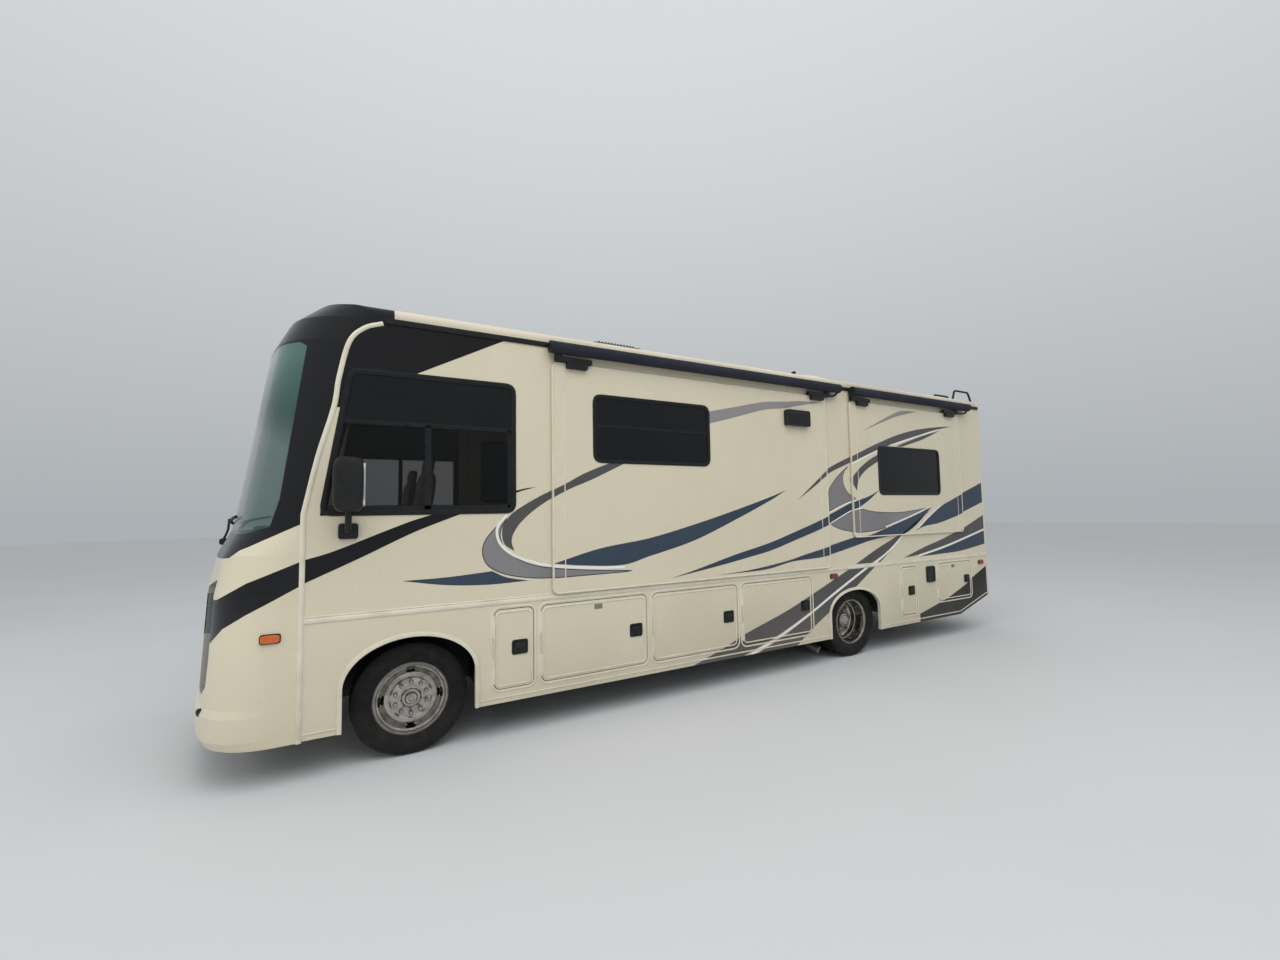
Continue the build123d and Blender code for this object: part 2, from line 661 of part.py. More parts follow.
# Patio awning case on the passenger's side
AWNING_FRONT = -560
AWNING_REAR = -5600
with BuildPart() as patio_awning:
    with BuildSketch(Plane.YZ.offset(front_axle + AWNING_REAR)):
        with Locations((-HALF - 55, 3085)):
            RectangleRounded(110, 150, 40)
        with Locations((-HALF - 10, 3085)):
            Rectangle(20, 150)
    extrude(amount=AWNING_FRONT - AWNING_REAR)
write(patio_awning.part, "patio_awning")

# Roof units: the two coolers are side profiles, points from the front axle and above the ground
FRONT_COOLER = [(-1760, 3360), (-1795, 3590), (-1942, 3700), (-2528, 3700), (-2660, 3610), (-2710, 3360)]
REAR_COOLER = [(-4960, 3360), (-4975, 3590), (-5060, 3672), (-5215, 3692), (-5458, 3706), (-5880, 3668),
               (-6000, 3600), (-6030, 3360)]
COOLER_WIDTH = 700
# columns: centre x, height above the crown
ROOF_VENTS = [(-3500, 90), (-4700, 235), (rear_from_front - 1430, 235)]
VENT_SIZE = 420
VENT_Y = 200
with BuildPart() as roof_units:
    for profile in (FRONT_COOLER, REAR_COOLER):
        with BuildSketch(Plane.XZ.offset(-COOLER_WIDTH / 2)):
            with BuildLine():
                Polyline(*[(front_axle + x, z) for x, z in profile], close=True)
            make_face()
        extrude(amount=COOLER_WIDTH)
    for station, height in ROOF_VENTS:
        with BuildSketch(Plane.XY.offset(CROWN - 40)):
            with Locations((front_axle + station, VENT_Y)):
                RectangleRounded(VENT_SIZE, VENT_SIZE, 50)
        extrude(amount=height + 40, taper=6)
    add(body_bar.part, mode=Mode.SUBTRACT)
write(roof_units.part, "roof_units")

# Rear ladder on the driver's side with its hoops over the roof edge
LADDER_Y = 1010
LADDER_WIDTH = 300
LADDER_TUBE = 14
LADDER_BOTTOM = 1130
LADDER_SHOULDER = 3250
HOOP_TOP = 3457
HOOP_REAR = 110
HOOP_FRONT = 455
HOOP_FOOT = 545
RUNG_COUNT = 8
ladder_x = wall_end - REAR_CAP_THICKNESS - LADDER_REACH + LADDER_TUBE
with BuildPart() as ladder:
    for offset in (-LADDER_WIDTH / 2, LADDER_WIDTH / 2):
        y = LADDER_Y + offset
        with BuildLine(Plane.XZ.offset(-y)) as stile:
            FilletPolyline((ladder_x, LADDER_BOTTOM), (ladder_x, LADDER_SHOULDER),
                           (ladder_x + HOOP_REAR, HOOP_TOP), (ladder_x + HOOP_FRONT, HOOP_TOP),
                           (ladder_x + HOOP_FOOT, CROWN - 160), radius=55)
        with BuildSketch(Plane(origin=(ladder_x, y, LADDER_BOTTOM), z_dir=(0, 0, 1))):
            Circle(LADDER_TUBE)
        sweep(path=stile.line)
        for level in (LADDER_BOTTOM + 80, 2000, 3000):
            box_between((ladder_x, y - 8, level - 8),
                        (wall_end - REAR_CAP_THICKNESS, y + 8, level + 8))
    rise = (LADDER_SHOULDER - 70 - LADDER_BOTTOM) / (RUNG_COUNT - 1)
    for index in range(RUNG_COUNT):
        rung_middle = (ladder_x, LADDER_Y, LADDER_BOTTOM + 40 + index * rise)
        with Locations(Plane(origin=rung_middle, z_dir=(0, 1, 0))):
            Cylinder(LADDER_TUBE - 2, LADDER_WIDTH)
    add(body_bar.part, mode=Mode.SUBTRACT)
write(ladder.part, "ladder")

# Tail lamps let into the rear cap
LAMP_PROUD = 14
# columns: distance from the centreline, middle height, width, height
REAR_LAMPS = [(1178, 860, 120, 390), (-1178, 860, 120, 390), (0, 3120, 320, 44)]
with BuildPart() as tail_lamps:
    for y, z, width, height in REAR_LAMPS:
        with BuildSketch(Plane.YZ.offset(wall_end - REAR_CAP_THICKNESS - LAMP_PROUD)):
            with Locations((y, z)):
                RectangleRounded(width, height, 20)
        extrude(amount=LAMP_PROUD)
write(tail_lamps.part, "tail_lamps")

# Mirrors: base on the wall, arm, head; the same on both sides
MIRROR_X = 425
MIRROR_OUT = 190
BASE_SIZE = (124, 28, 110)
BASE_BOTTOM = 1596
ARM_RADIUS = 24
ARM_HEIGHT = 1655
HEAD_BOTTOM = 1783
HEAD_HEIGHT = 374
HEAD_PLAN = (195, 220)
HEAD_CORNER = 50
with BuildPart() as mirrors:
    for side in (1, -1):
        base_y = side * (HALF + BASE_SIZE[1] / 2)
        with Locations((front_axle + MIRROR_X, base_y, BASE_BOTTOM + BASE_SIZE[2] / 2)):
            Box(*BASE_SIZE)
        with BuildLine(Plane.YZ.offset(front_axle + MIRROR_X)) as arm:
            FilletPolyline((side * HALF, ARM_HEIGHT), (side * (HALF + MIRROR_OUT), ARM_HEIGHT),
                           (side * (HALF + MIRROR_OUT), HEAD_BOTTOM + 40), radius=60)
        with BuildSketch(Plane(origin=(front_axle + MIRROR_X, side * HALF, ARM_HEIGHT), z_dir=(0, side, 0))):
            Circle(ARM_RADIUS)
        sweep(path=arm.line)
        with BuildSketch(Plane.XY.offset(HEAD_BOTTOM)):
            with Locations((front_axle + MIRROR_X, side * (HALF + MIRROR_OUT))):
                RectangleRounded(*HEAD_PLAN, HEAD_CORNER)
        extrude(amount=HEAD_HEIGHT, taper=1.5)
write(mirrors.part, "mirrors")

# Cab interior: dashboard with the steering column, wheel and two seats
DASH_REAR = 800
DASH_BOTTOM = FLOOR_TOP + 230
DASH_TOP = FLOOR_TOP + 540
HOOD_WIDTH = 400
HOOD_HEIGHT = 55
COLUMN_TILT = 55
SEAT_X = 90
SEAT_Y = 680
wheel_centre = (front_axle + 640, SEAT_Y, FLOOR_TOP + 520)
column_axis = (-math.cos(math.radians(COLUMN_TILT)), 0, math.sin(math.radians(COLUMN_TILT)))
with BuildPart() as column_solid:
    with Locations(Plane(origin=wheel_centre, z_dir=column_axis)):
        Cylinder(35, 420, align=(Align.CENTER, Align.CENTER, Align.MAX))
with BuildPart() as dashboard:
    add(cap_loft(WALL))
    cut_between((CAP_REAR_X - 10, -HALF, 0), (front_axle + DASH_REAR, HALF, CROWN + 100))
    cut_between((CAP_REAR_X - 10, -HALF, 0), (front_axle + 2000, HALF, DASH_BOTTOM))
    cut_between((CAP_REAR_X - 10, -HALF, DASH_TOP), (front_axle + 2000, HALF, CROWN + 100))
    add(column_solid.part)
    with BuildSketch(Plane.XY.offset(DASH_TOP - 5)):
        with Locations((front_axle + DASH_REAR + 130, SEAT_Y)):
            RectangleRounded(200, HOOD_WIDTH, 40)
    extrude(amount=HOOD_HEIGHT + 5, taper=10)
write(dashboard.part, "dashboard")

STEER_RING = 215
STEER_GRIP = 15
with BuildPart() as steering_wheel:
    hub = Plane(origin=wheel_centre, z_dir=column_axis)
    seat_plane = hub.offset(SEAT_GAP)
    with Locations(seat_plane):
        Cylinder(50, 40, align=(Align.CENTER, Align.CENTER, Align.MIN))
    with Locations(hub.offset(45)):
        Torus(STEER_RING, STEER_GRIP)
    with Locations(hub.offset(35)):
        with PolarLocations(STEER_RING / 2, 3, start_angle=-30):
            Box(STEER_RING, 26, 12)
write(steering_wheel.part, "steering_wheel")

PEDESTAL_HALF = (160, 200)
CUSHION_HALF = (250, 260)
CUSHION_BOTTOM = FLOOR_TOP + 300
CUSHION_TOP = FLOOR_TOP + 440
BACK_HALF_WIDTH = 250
# Seat back in side view, from the seat's middle and above the floor
BACK_PROFILE = [(-250, 400), (-130, 400), (-190, 1100), (-300, 1100)]
with BuildPart() as cab_seats:
    for side in (1, -1):
        y = side * SEAT_Y
        x = front_axle + SEAT_X
        box_between((x - PEDESTAL_HALF[0], y - PEDESTAL_HALF[1], FLOOR_TOP),
                    (x + PEDESTAL_HALF[0], y + PEDESTAL_HALF[1], CUSHION_BOTTOM))
        box_between((x - CUSHION_HALF[0], y - CUSHION_HALF[1], CUSHION_BOTTOM),
                    (x + CUSHION_HALF[0], y + CUSHION_HALF[1], CUSHION_TOP))
        with BuildSketch(Plane.XZ.offset(-y - BACK_HALF_WIDTH)):
            with BuildLine():
                Polyline(*[(x + across, FLOOR_TOP + up) for across, up in BACK_PROFILE], close=True)
            make_face()
        extrude(amount=2 * BACK_HALF_WIDTH)
write(cab_seats.part, "cab_seats")

# Chassis frame: two rails, bolsters that carry the floor, cross members and the hitch
BOLSTERS = (1000, -1000, -1900, -2900, -3900, rear_from_front - 700, rear_from_front - 1600,
            rear_from_front - 2500)
HITCH_Z = 425
RECEIVER_OUTER = 76
RECEIVER_INNER = 51
RECEIVER_LENGTH = 230
HITCH_PIN_BORE = 8.2
HITCH_PIN_X = 70
hitch_end = wall_end - REAR_CAP_THICKNESS - 30
with BuildPart() as chassis_frame:
    for side in (1, -1):
        low_y, high_y = sorted((side * RAIL_SPACING, side * (RAIL_SPACING + RAIL_FLANGE)))
        box_between((wall_end + 60, low_y, RAIL_BOTTOM), (front_axle + RAIL_FRONT, high_y, rail_top))
    for station in BOLSTERS:
        box_between((front_axle + station - 50, -RAIL_SPACING - RAIL_FLANGE, rail_top - 60),
                    (front_axle + station + 50, RAIL_SPACING + RAIL_FLANGE, floor_under))
    box_between((wall_end + 60, -RAIL_SPACING, RAIL_BOTTOM), (wall_end + 160, RAIL_SPACING, rail_top))
    box_between((wall_end + 60, -RECEIVER_OUTER / 2, HITCH_Z - RECEIVER_OUTER / 2),
                (wall_end + 160, RECEIVER_OUTER / 2, RAIL_BOTTOM))
    box_between((hitch_end, -RECEIVER_OUTER / 2, HITCH_Z - RECEIVER_OUTER / 2),
                (wall_end + 160, RECEIVER_OUTER / 2, HITCH_Z + RECEIVER_OUTER / 2))
    cut_between((hitch_end - 1, -RECEIVER_INNER / 2, HITCH_Z - RECEIVER_INNER / 2),
                (hitch_end + RECEIVER_LENGTH, RECEIVER_INNER / 2, HITCH_Z + RECEIVER_INNER / 2))
    with Locations(Plane(origin=(hitch_end + HITCH_PIN_X, 0, HITCH_Z), z_dir=(0, 1, 0))):
        Cylinder(HITCH_PIN_BORE, RECEIVER_OUTER + 2, mode=Mode.SUBTRACT)
write(chassis_frame.part, "chassis_frame")

ENGINE_REAR = -150
ENGINE_FRONT = 750
ENGINE_BOTTOM = 600
with BuildPart() as engine:
    box_between((front_axle + ENGINE_REAR, SEAT_GAP - RAIL_SPACING, ENGINE_BOTTOM),
                (front_axle + ENGINE_FRONT, RAIL_SPACING - SEAT_GAP, floor_under - 20))
write(engine.part, "engine")

# Fuel tank between the rails, behind the rear axle
TANK_FRONT = -760
TANK_REAR = -1540
TANK_BOTTOM = 480
TANK_TOP = 760
with BuildPart() as fuel_tank:
    box_between((rear_axle + TANK_REAR, SEAT_GAP - RAIL_SPACING, TANK_BOTTOM),
                (rear_axle + TANK_FRONT, RAIL_SPACING - SEAT_GAP, TANK_TOP))
    fillet(fuel_tank.edges().filter_by(Axis.X), 50)
write(fuel_tank.part, "fuel_tank")

EXHAUST_RADIUS = 38
EXHAUST_Y = -520
EXHAUST_HEIGHT = 515
CROSSING_HEIGHT = 308
HANGERS = (-1200, -2400, -3600)
with BuildPart() as exhaust:
    with BuildLine() as pipe_route:
        FilletPolyline((front_axle - 200, EXHAUST_Y, EXHAUST_HEIGHT),
                       (rear_axle + 1000, EXHAUST_Y, EXHAUST_HEIGHT),
                       (rear_axle + 800, EXHAUST_Y, CROSSING_HEIGHT),
                       (rear_axle + 700, 760, CROSSING_HEIGHT), (rear_axle + 560, 1200, 150), radius=140)
    with BuildSketch(Plane(origin=(front_axle - 200, EXHAUST_Y, EXHAUST_HEIGHT), z_dir=(1, 0, 0))):
        Circle(EXHAUST_RADIUS)
    sweep(path=pipe_route.line)
    for station in HANGERS:
        box_between((front_axle + station - 15, EXHAUST_Y - 5, EXHAUST_HEIGHT),
                    (front_axle + station + 15, -RAIL_SPACING - 20, RAIL_BOTTOM))
write(exhaust.part, "exhaust")

# Axles
AXLE_EYE = 45
EYE_HEIGHT = 140
BEAM_RISE = 25
SPRING_HANGER = 60
# columns: half length, height of its underside above the axle, thickness
FRONT_SPRING = (650, BEAM_RISE, 40)
REAR_SPRING = (560, 55, 50)


def leaf_springs(axle, half_length, seat, thickness):
    """Both leaf springs of an axle, with the hangers that carry them from the rails."""
    bottom = TYRE_RADIUS + seat
    for side in (1, -1):
        low_y, high_y = sorted((side * RAIL_SPACING, side * (RAIL_SPACING + RAIL_FLANGE)))
        box_between((axle - half_length, low_y, bottom), (axle + half_length, high_y, bottom + thickness))
        for end in (-1, 1):
            near, far = sorted((axle + end * half_length, axle + end * (half_length - SPRING_HANGER)))
            box_between((near, low_y, bottom + thickness - 5), (far, high_y, RAIL_BOTTOM))


with BuildPart() as front_axle_beam:
    box_between((front_axle - AXLE_EYE, -KINGPIN_Y + 20, TYRE_RADIUS - AXLE_EYE),
                (front_axle + AXLE_EYE, KINGPIN_Y - 20, TYRE_RADIUS + BEAM_RISE))
    for side in (1, -1):
        with Locations((front_axle, side * KINGPIN_Y, TYRE_RADIUS)):
            Cylinder(AXLE_EYE, EYE_HEIGHT)
            Cylinder(KINGPIN_RADIUS + SEAT_GAP, EYE_HEIGHT, mode=Mode.SUBTRACT)
    leaf_springs(front_axle, *FRONT_SPRING)
write(front_axle_beam.part, "front_axle")

TUBE_RADIUS = 60
TUBE_END = 640
DIFFERENTIAL_RADIUS = 180
DRUM_RADIUS = 195
DRUM_INNER = 690
DRUM_OUTER = 780
SHAFT_RADIUS = 42
SHAFT_FRONT_HEIGHT = 650
with BuildPart() as rear_axle_beam:
    with Locations(Plane(origin=(rear_axle, 0, TYRE_RADIUS), z_dir=(0, 1, 0))):
        Cylinder(TUBE_RADIUS, 2 * TUBE_END)
        Cylinder(SPINDLE_RADIUS, 2 * (TRACK_HALF - 20))
    with Locations((rear_axle, 0, TYRE_RADIUS)):
        Sphere(DIFFERENTIAL_RADIUS)
    shaft_run = WHEELBASE + ENGINE_REAR
    shaft_rise = SHAFT_FRONT_HEIGHT - TYRE_RADIUS
    with Locations(Plane(origin=(rear_axle, 0, TYRE_RADIUS), z_dir=(shaft_run, 0, shaft_rise))):
        Cylinder(SHAFT_RADIUS, math.hypot(shaft_run, shaft_rise) - SHAFT_RADIUS * shaft_rise / shaft_run,
                 align=(Align.CENTER, Align.CENTER, Align.MIN))
    for side in (1, -1):
        drum_y = side * (DRUM_INNER + DRUM_OUTER) / 2
        with Locations(Plane(origin=(rear_axle, drum_y, TYRE_RADIUS), z_dir=(0, 1, 0))):
            Cylinder(DRUM_RADIUS, DRUM_OUTER - DRUM_INNER)
    leaf_springs(rear_axle, *REAR_SPRING)
write(rear_axle_beam.part, "rear_axle")

# Steering knuckles with kingpin and spindle
LUG_GAP = 1
LUG_HEIGHT = 34
WEB_INNER = 52
WEB_THICKNESS = 24
SPINDLE_END = 190
for name, side in (("left", 1), ("right", -1)):
    lug_low = EYE_HEIGHT / 2 + LUG_GAP
    with BuildPart() as knuckle:
        with Locations((front_axle, side * KINGPIN_Y, TYRE_RADIUS)):
            Cylinder(KINGPIN_RADIUS, EYE_HEIGHT + 70)
            with Locations((0, 0, lug_low + LUG_HEIGHT / 2), (0, 0, -lug_low - LUG_HEIGHT / 2)):
                Cylinder(AXLE_EYE, LUG_HEIGHT)
        web_near = side * (KINGPIN_Y + WEB_INNER)
        web_far = side * (KINGPIN_Y + WEB_INNER + WEB_THICKNESS)
        low_y, high_y = sorted((side * KINGPIN_Y, web_far))
        for low_z in (TYRE_RADIUS + lug_low, TYRE_RADIUS - lug_low - LUG_HEIGHT):
            box_between((front_axle - AXLE_EYE, low_y, low_z),
                        (front_axle + AXLE_EYE, high_y, low_z + LUG_HEIGHT))
        low_y, high_y = sorted((web_near, web_far))
        box_between((front_axle - AXLE_EYE, low_y, TYRE_RADIUS - lug_low - LUG_HEIGHT),
                    (front_axle + AXLE_EYE, high_y, TYRE_RADIUS + lug_low + LUG_HEIGHT))
        spindle_root = (front_axle, (web_near + web_far) / 2, TYRE_RADIUS)
        with Locations(Plane(origin=spindle_root, z_dir=(0, side, 0))):
            Cylinder(SPINDLE_RADIUS, SPINDLE_END - WEB_INNER - WEB_THICKNESS / 2,
                     align=(Align.CENTER, Align.CENTER, Align.MIN))
    write(knuckle.part, f"knuckle_{name}")

# Tyre section: distance from the axle, distance from the tyre's middle plane
TYRE_HALF_SECTION = [(BEAD_RADIUS, 90), (268, 104), (325, TYRE_WIDTH / 2), (370, 116), (398, TREAD_WIDTH / 2)]


def wheel_plane(axle, side, distance):
    """Plane across a wheel's axis, its normal pointing away from the vehicle."""
    return Plane(origin=(axle, side * distance, TYRE_RADIUS), x_dir=(1, 0, 0), z_dir=(0, side, 0))


def tyre_solid(plane):
    """A tyre revolved about its axis, the normal of a plane at its middle."""
    profile_plane = Plane(origin=plane.origin, x_dir=plane.x_dir, z_dir=plane.x_dir.cross(plane.z_dir))
    points = [(radius, offset) for radius, offset in TYRE_HALF_SECTION]
    mirrored = [(radius, -offset) for radius, offset in reversed(TYRE_HALF_SECTION)]
    with BuildPart() as solid:
        with BuildSketch(profile_plane):
            with BuildLine():
                Polyline(*points, (TYRE_RADIUS, 70), (TYRE_RADIUS, -70), *mirrored, close=True)
            make_face()
        revolve(axis=Axis(plane.origin, plane.z_dir))
    return solid.part


HAND_HOLES = 8
HAND_HOLE_RADIUS = 19


def rim_solid(plane, disc, near, far, hub, hole_circle):
    """A wheel revolved about its axis: barrel, dished disc and hub, with hand holes in the disc.

    Distances run outwards from the middle plane: the disc, the hub's end on the barrel's side
    and its other end. The hub's radius on the barrel's side and the circle of the hand holes follow.
    """
    profile_plane = Plane(origin=plane.origin, x_dir=plane.x_dir, z_dir=plane.x_dir.cross(plane.z_dir))
    edge = RIM_WIDTH / 2
    bore = SPINDLE_RADIUS + SEAT_GAP
    way = math.copysign(1, disc)
    with BuildPart() as solid:
        with BuildSketch(profile_plane):
            with BuildLine():
                Polyline((BEAD_RADIUS + 10, edge), (BEAD_RADIUS - 2, edge - 6),
                         (BEAD_RADIUS - 2, 6 - edge), (BEAD_RADIUS + 10, -edge),
                         (BEAD_RADIUS + 10, -edge - 5), (BEAD_RADIUS - 12, -edge - 1),
                         (BEAD_RADIUS - 12, edge + 1), (BEAD_RADIUS + 10, edge + 5), close=True)
            make_face()
            with BuildLine():
                Polyline((BEAD_RADIUS - 8, disc - way * 30), (BEAD_RADIUS - 8, disc - way * 42),
                         (180, disc - way * 6), (hub, disc - way * 6), (hub, near), (bore, near),
                         (bore, far), (90, far), (110, far - way * 12), (110, disc + way * 6),
                         (180, disc + way * 6), close=True)
            make_face()
        revolve(axis=Axis(plane.origin, plane.z_dir))
        with Locations(plane.offset(disc)):
            with PolarLocations(hole_circle, HAND_HOLES):
                Cylinder(HAND_HOLE_RADIUS, 70, mode=Mode.SUBTRACT)
    return solid.part


for name, side in (("left", 1), ("right", -1)):
    plane = wheel_plane(front_axle, side, TRACK_HALF)
    write(tyre_solid(plane), f"tyre_front_{name}")
    write(rim_solid(plane, 40, -45, 70, 110, 208), f"wheel_front_{name}")
    outer_plane = wheel_plane(rear_axle, side, TRACK_HALF)
    inner_plane = wheel_plane(rear_axle, side, TRACK_HALF - DUAL_SPACING)
    with BuildPart() as dual_tyres:
        add(tyre_solid(outer_plane))
        add(tyre_solid(inner_plane))
    write(dual_tyres.part, f"tyres_rear_{name}")
    with BuildPart() as dual_rims:
        add(rim_solid(outer_plane, -90, -20, -DUAL_SPACING / 2, 80, 156))
        add(rim_solid(inner_plane, 90, -20, DUAL_SPACING / 2, 110, 156))
    write(dual_rims.part, f"wheels_rear_{name}")
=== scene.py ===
"""Motorhome: the looks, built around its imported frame.

Metres, +X forward, +Y to the driver's side, +Z up. Sizes measured along the body are
written in millimetres ahead of the front axle and above the ground, and turned to
metres by `Datum`.
"""
import json
import logging
import math
from collections.abc import Sequence
from dataclasses import dataclass, field, replace
from enum import Enum

import bmesh
import bpy
import numpy as np
from mathutils import Matrix, Vector
from mathutils.geometry import delaunay_2d_cdt
from numpy.typing import ArrayLike


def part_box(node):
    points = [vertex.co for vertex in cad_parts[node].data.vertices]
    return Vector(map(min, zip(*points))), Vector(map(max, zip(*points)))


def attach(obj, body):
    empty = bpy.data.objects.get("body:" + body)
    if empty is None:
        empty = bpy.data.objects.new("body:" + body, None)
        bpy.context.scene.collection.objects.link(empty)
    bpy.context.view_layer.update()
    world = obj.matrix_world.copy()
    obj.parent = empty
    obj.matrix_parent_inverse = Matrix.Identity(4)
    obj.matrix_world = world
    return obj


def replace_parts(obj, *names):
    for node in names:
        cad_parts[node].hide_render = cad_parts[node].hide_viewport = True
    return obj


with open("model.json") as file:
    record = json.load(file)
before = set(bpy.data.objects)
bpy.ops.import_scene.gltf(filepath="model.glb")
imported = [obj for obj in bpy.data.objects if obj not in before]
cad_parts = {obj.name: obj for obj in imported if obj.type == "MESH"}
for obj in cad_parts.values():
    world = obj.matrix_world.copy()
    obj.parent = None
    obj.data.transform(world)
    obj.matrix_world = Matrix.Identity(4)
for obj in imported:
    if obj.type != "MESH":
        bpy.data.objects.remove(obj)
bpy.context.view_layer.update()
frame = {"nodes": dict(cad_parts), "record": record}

MM = 0.001
PANE_DEPTH = 6 * MM
SHARP_EDGE = math.radians(35)
# Points of a piece nearer than this are merged
SAME_PLACE = 0.01 * MM
# Points of a panel's face are merged where they round to the same one of so many steps in a metre
MERGE_STEPS = 20000
# How far off its level a point of a panel's face may lie
FLAT = 0.2 * MM
log = logging.getLogger("motorhome")

Points = np.ndarray
Piece = bpy.types.Object
Tree = bpy.types.NodeTree
Node = bpy.types.Node
Socket = bpy.types.NodeSocket
Source = Node | Socket
Pair = tuple[float, float]
Triple = tuple[float, float, float]


class Side(Enum):
    """The two sides of the vehicle, valued by the sign of Y."""

    LEFT = 1
    RIGHT = -1

    @property
    def tag(self) -> str:
        """The side as names of pieces have it."""
        return self.name.lower()


@dataclass(frozen=True)
class Datum:
    """The places that every sub-assembly measures from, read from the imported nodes."""

    front_axle: float
    rear_axle: float
    axle_height: float
    half: float
    room_face: float
    wall_end: float

    @classmethod
    def read(cls) -> "Datum":
        """Reads the frame.

        Returns:
            The datum of this vehicle.
        """
        front_low, front_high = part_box("tyre_front_left")
        rear_low, rear_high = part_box("tyres_rear_left")
        _, pane_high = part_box("slide_window_front")
        wall_low, wall_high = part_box("wall_left")
        return cls((front_low.x + front_high.x) / 2, (rear_low.x + rear_high.x) / 2,
                   (front_low.z + front_high.z) / 2, wall_high.y, pane_high.y + PANE_DEPTH, wall_low.x)

    def x(self, ahead: float) -> float:
        """Metres along the body for millimetres ahead of the front axle."""
        return self.front_axle + ahead * MM

    def side_points(self, points: ArrayLike) -> Points:
        """Points in side view, in metres, from (ahead of the axle, height) in millimetres."""
        side = np.asarray(points, float) * MM
        side[:, 0] += self.front_axle
        return side

    def line(self, start: Pair, end: Pair, steps: int) -> Points:
        """Even points of a straight line in side view, in metres, from ends in millimetres."""
        return self.side_points(np.linspace(start, end, steps))

    def panel(self, rear: float, front: float, low: float, high: float, corner: float,
              steps: int = 6) -> Points:
        """A rounded rectangle in side view: limits in millimetres, corner in metres."""
        return rounded(self.side_points(rectangle(rear, front, low, high)), corner, steps)


DATUM = Datum.read()


def srgb(code: str) -> tuple[float, float, float, float]:
    """Linear red, green and blue with an alpha of 1, from the hex code of an sRGB colour."""
    channels = [int(code[i:i + 2], 16) / 255 for i in (1, 3, 5)]
    linear = [c / 12.92 if c <= 0.04045 else ((c + 0.055) / 1.055) ** 2.4 for c in channels]
    return (*linear, 1.0)


def add_node(tree: Tree, kind: str, settings: dict | None = None, links: dict | None = None) -> Node:
    """Adds a shader node.

    Args:
        tree: the node tree.
        kind: the node's type name, without its ShaderNode.
        settings: properties, or input names or numbers, with their values.
        links: input names or numbers with the sockets that feed them, or nodes for their first output.

    Returns:
        The node.
    """
    made = tree.nodes.new("ShaderNode" + kind)
    for key, value in (settings or {}).items():
        if isinstance(key, str) and hasattr(made, key):
            setattr(made, key, value)
        else:
            made.inputs[key].default_value = value
    for key, source in (links or {}).items():
        tree.links.new(source if isinstance(source, Socket) else source.outputs[0], made.inputs[key])
    return made


def object_axes(tree: Tree) -> list[Socket]:
    """Sockets that give a point's X, Y and Z in Object coordinates."""
    place = add_node(tree, "TexCoord")
    return list(add_node(tree, "SeparateXYZ", {}, {0: place.outputs["Object"]}).outputs)


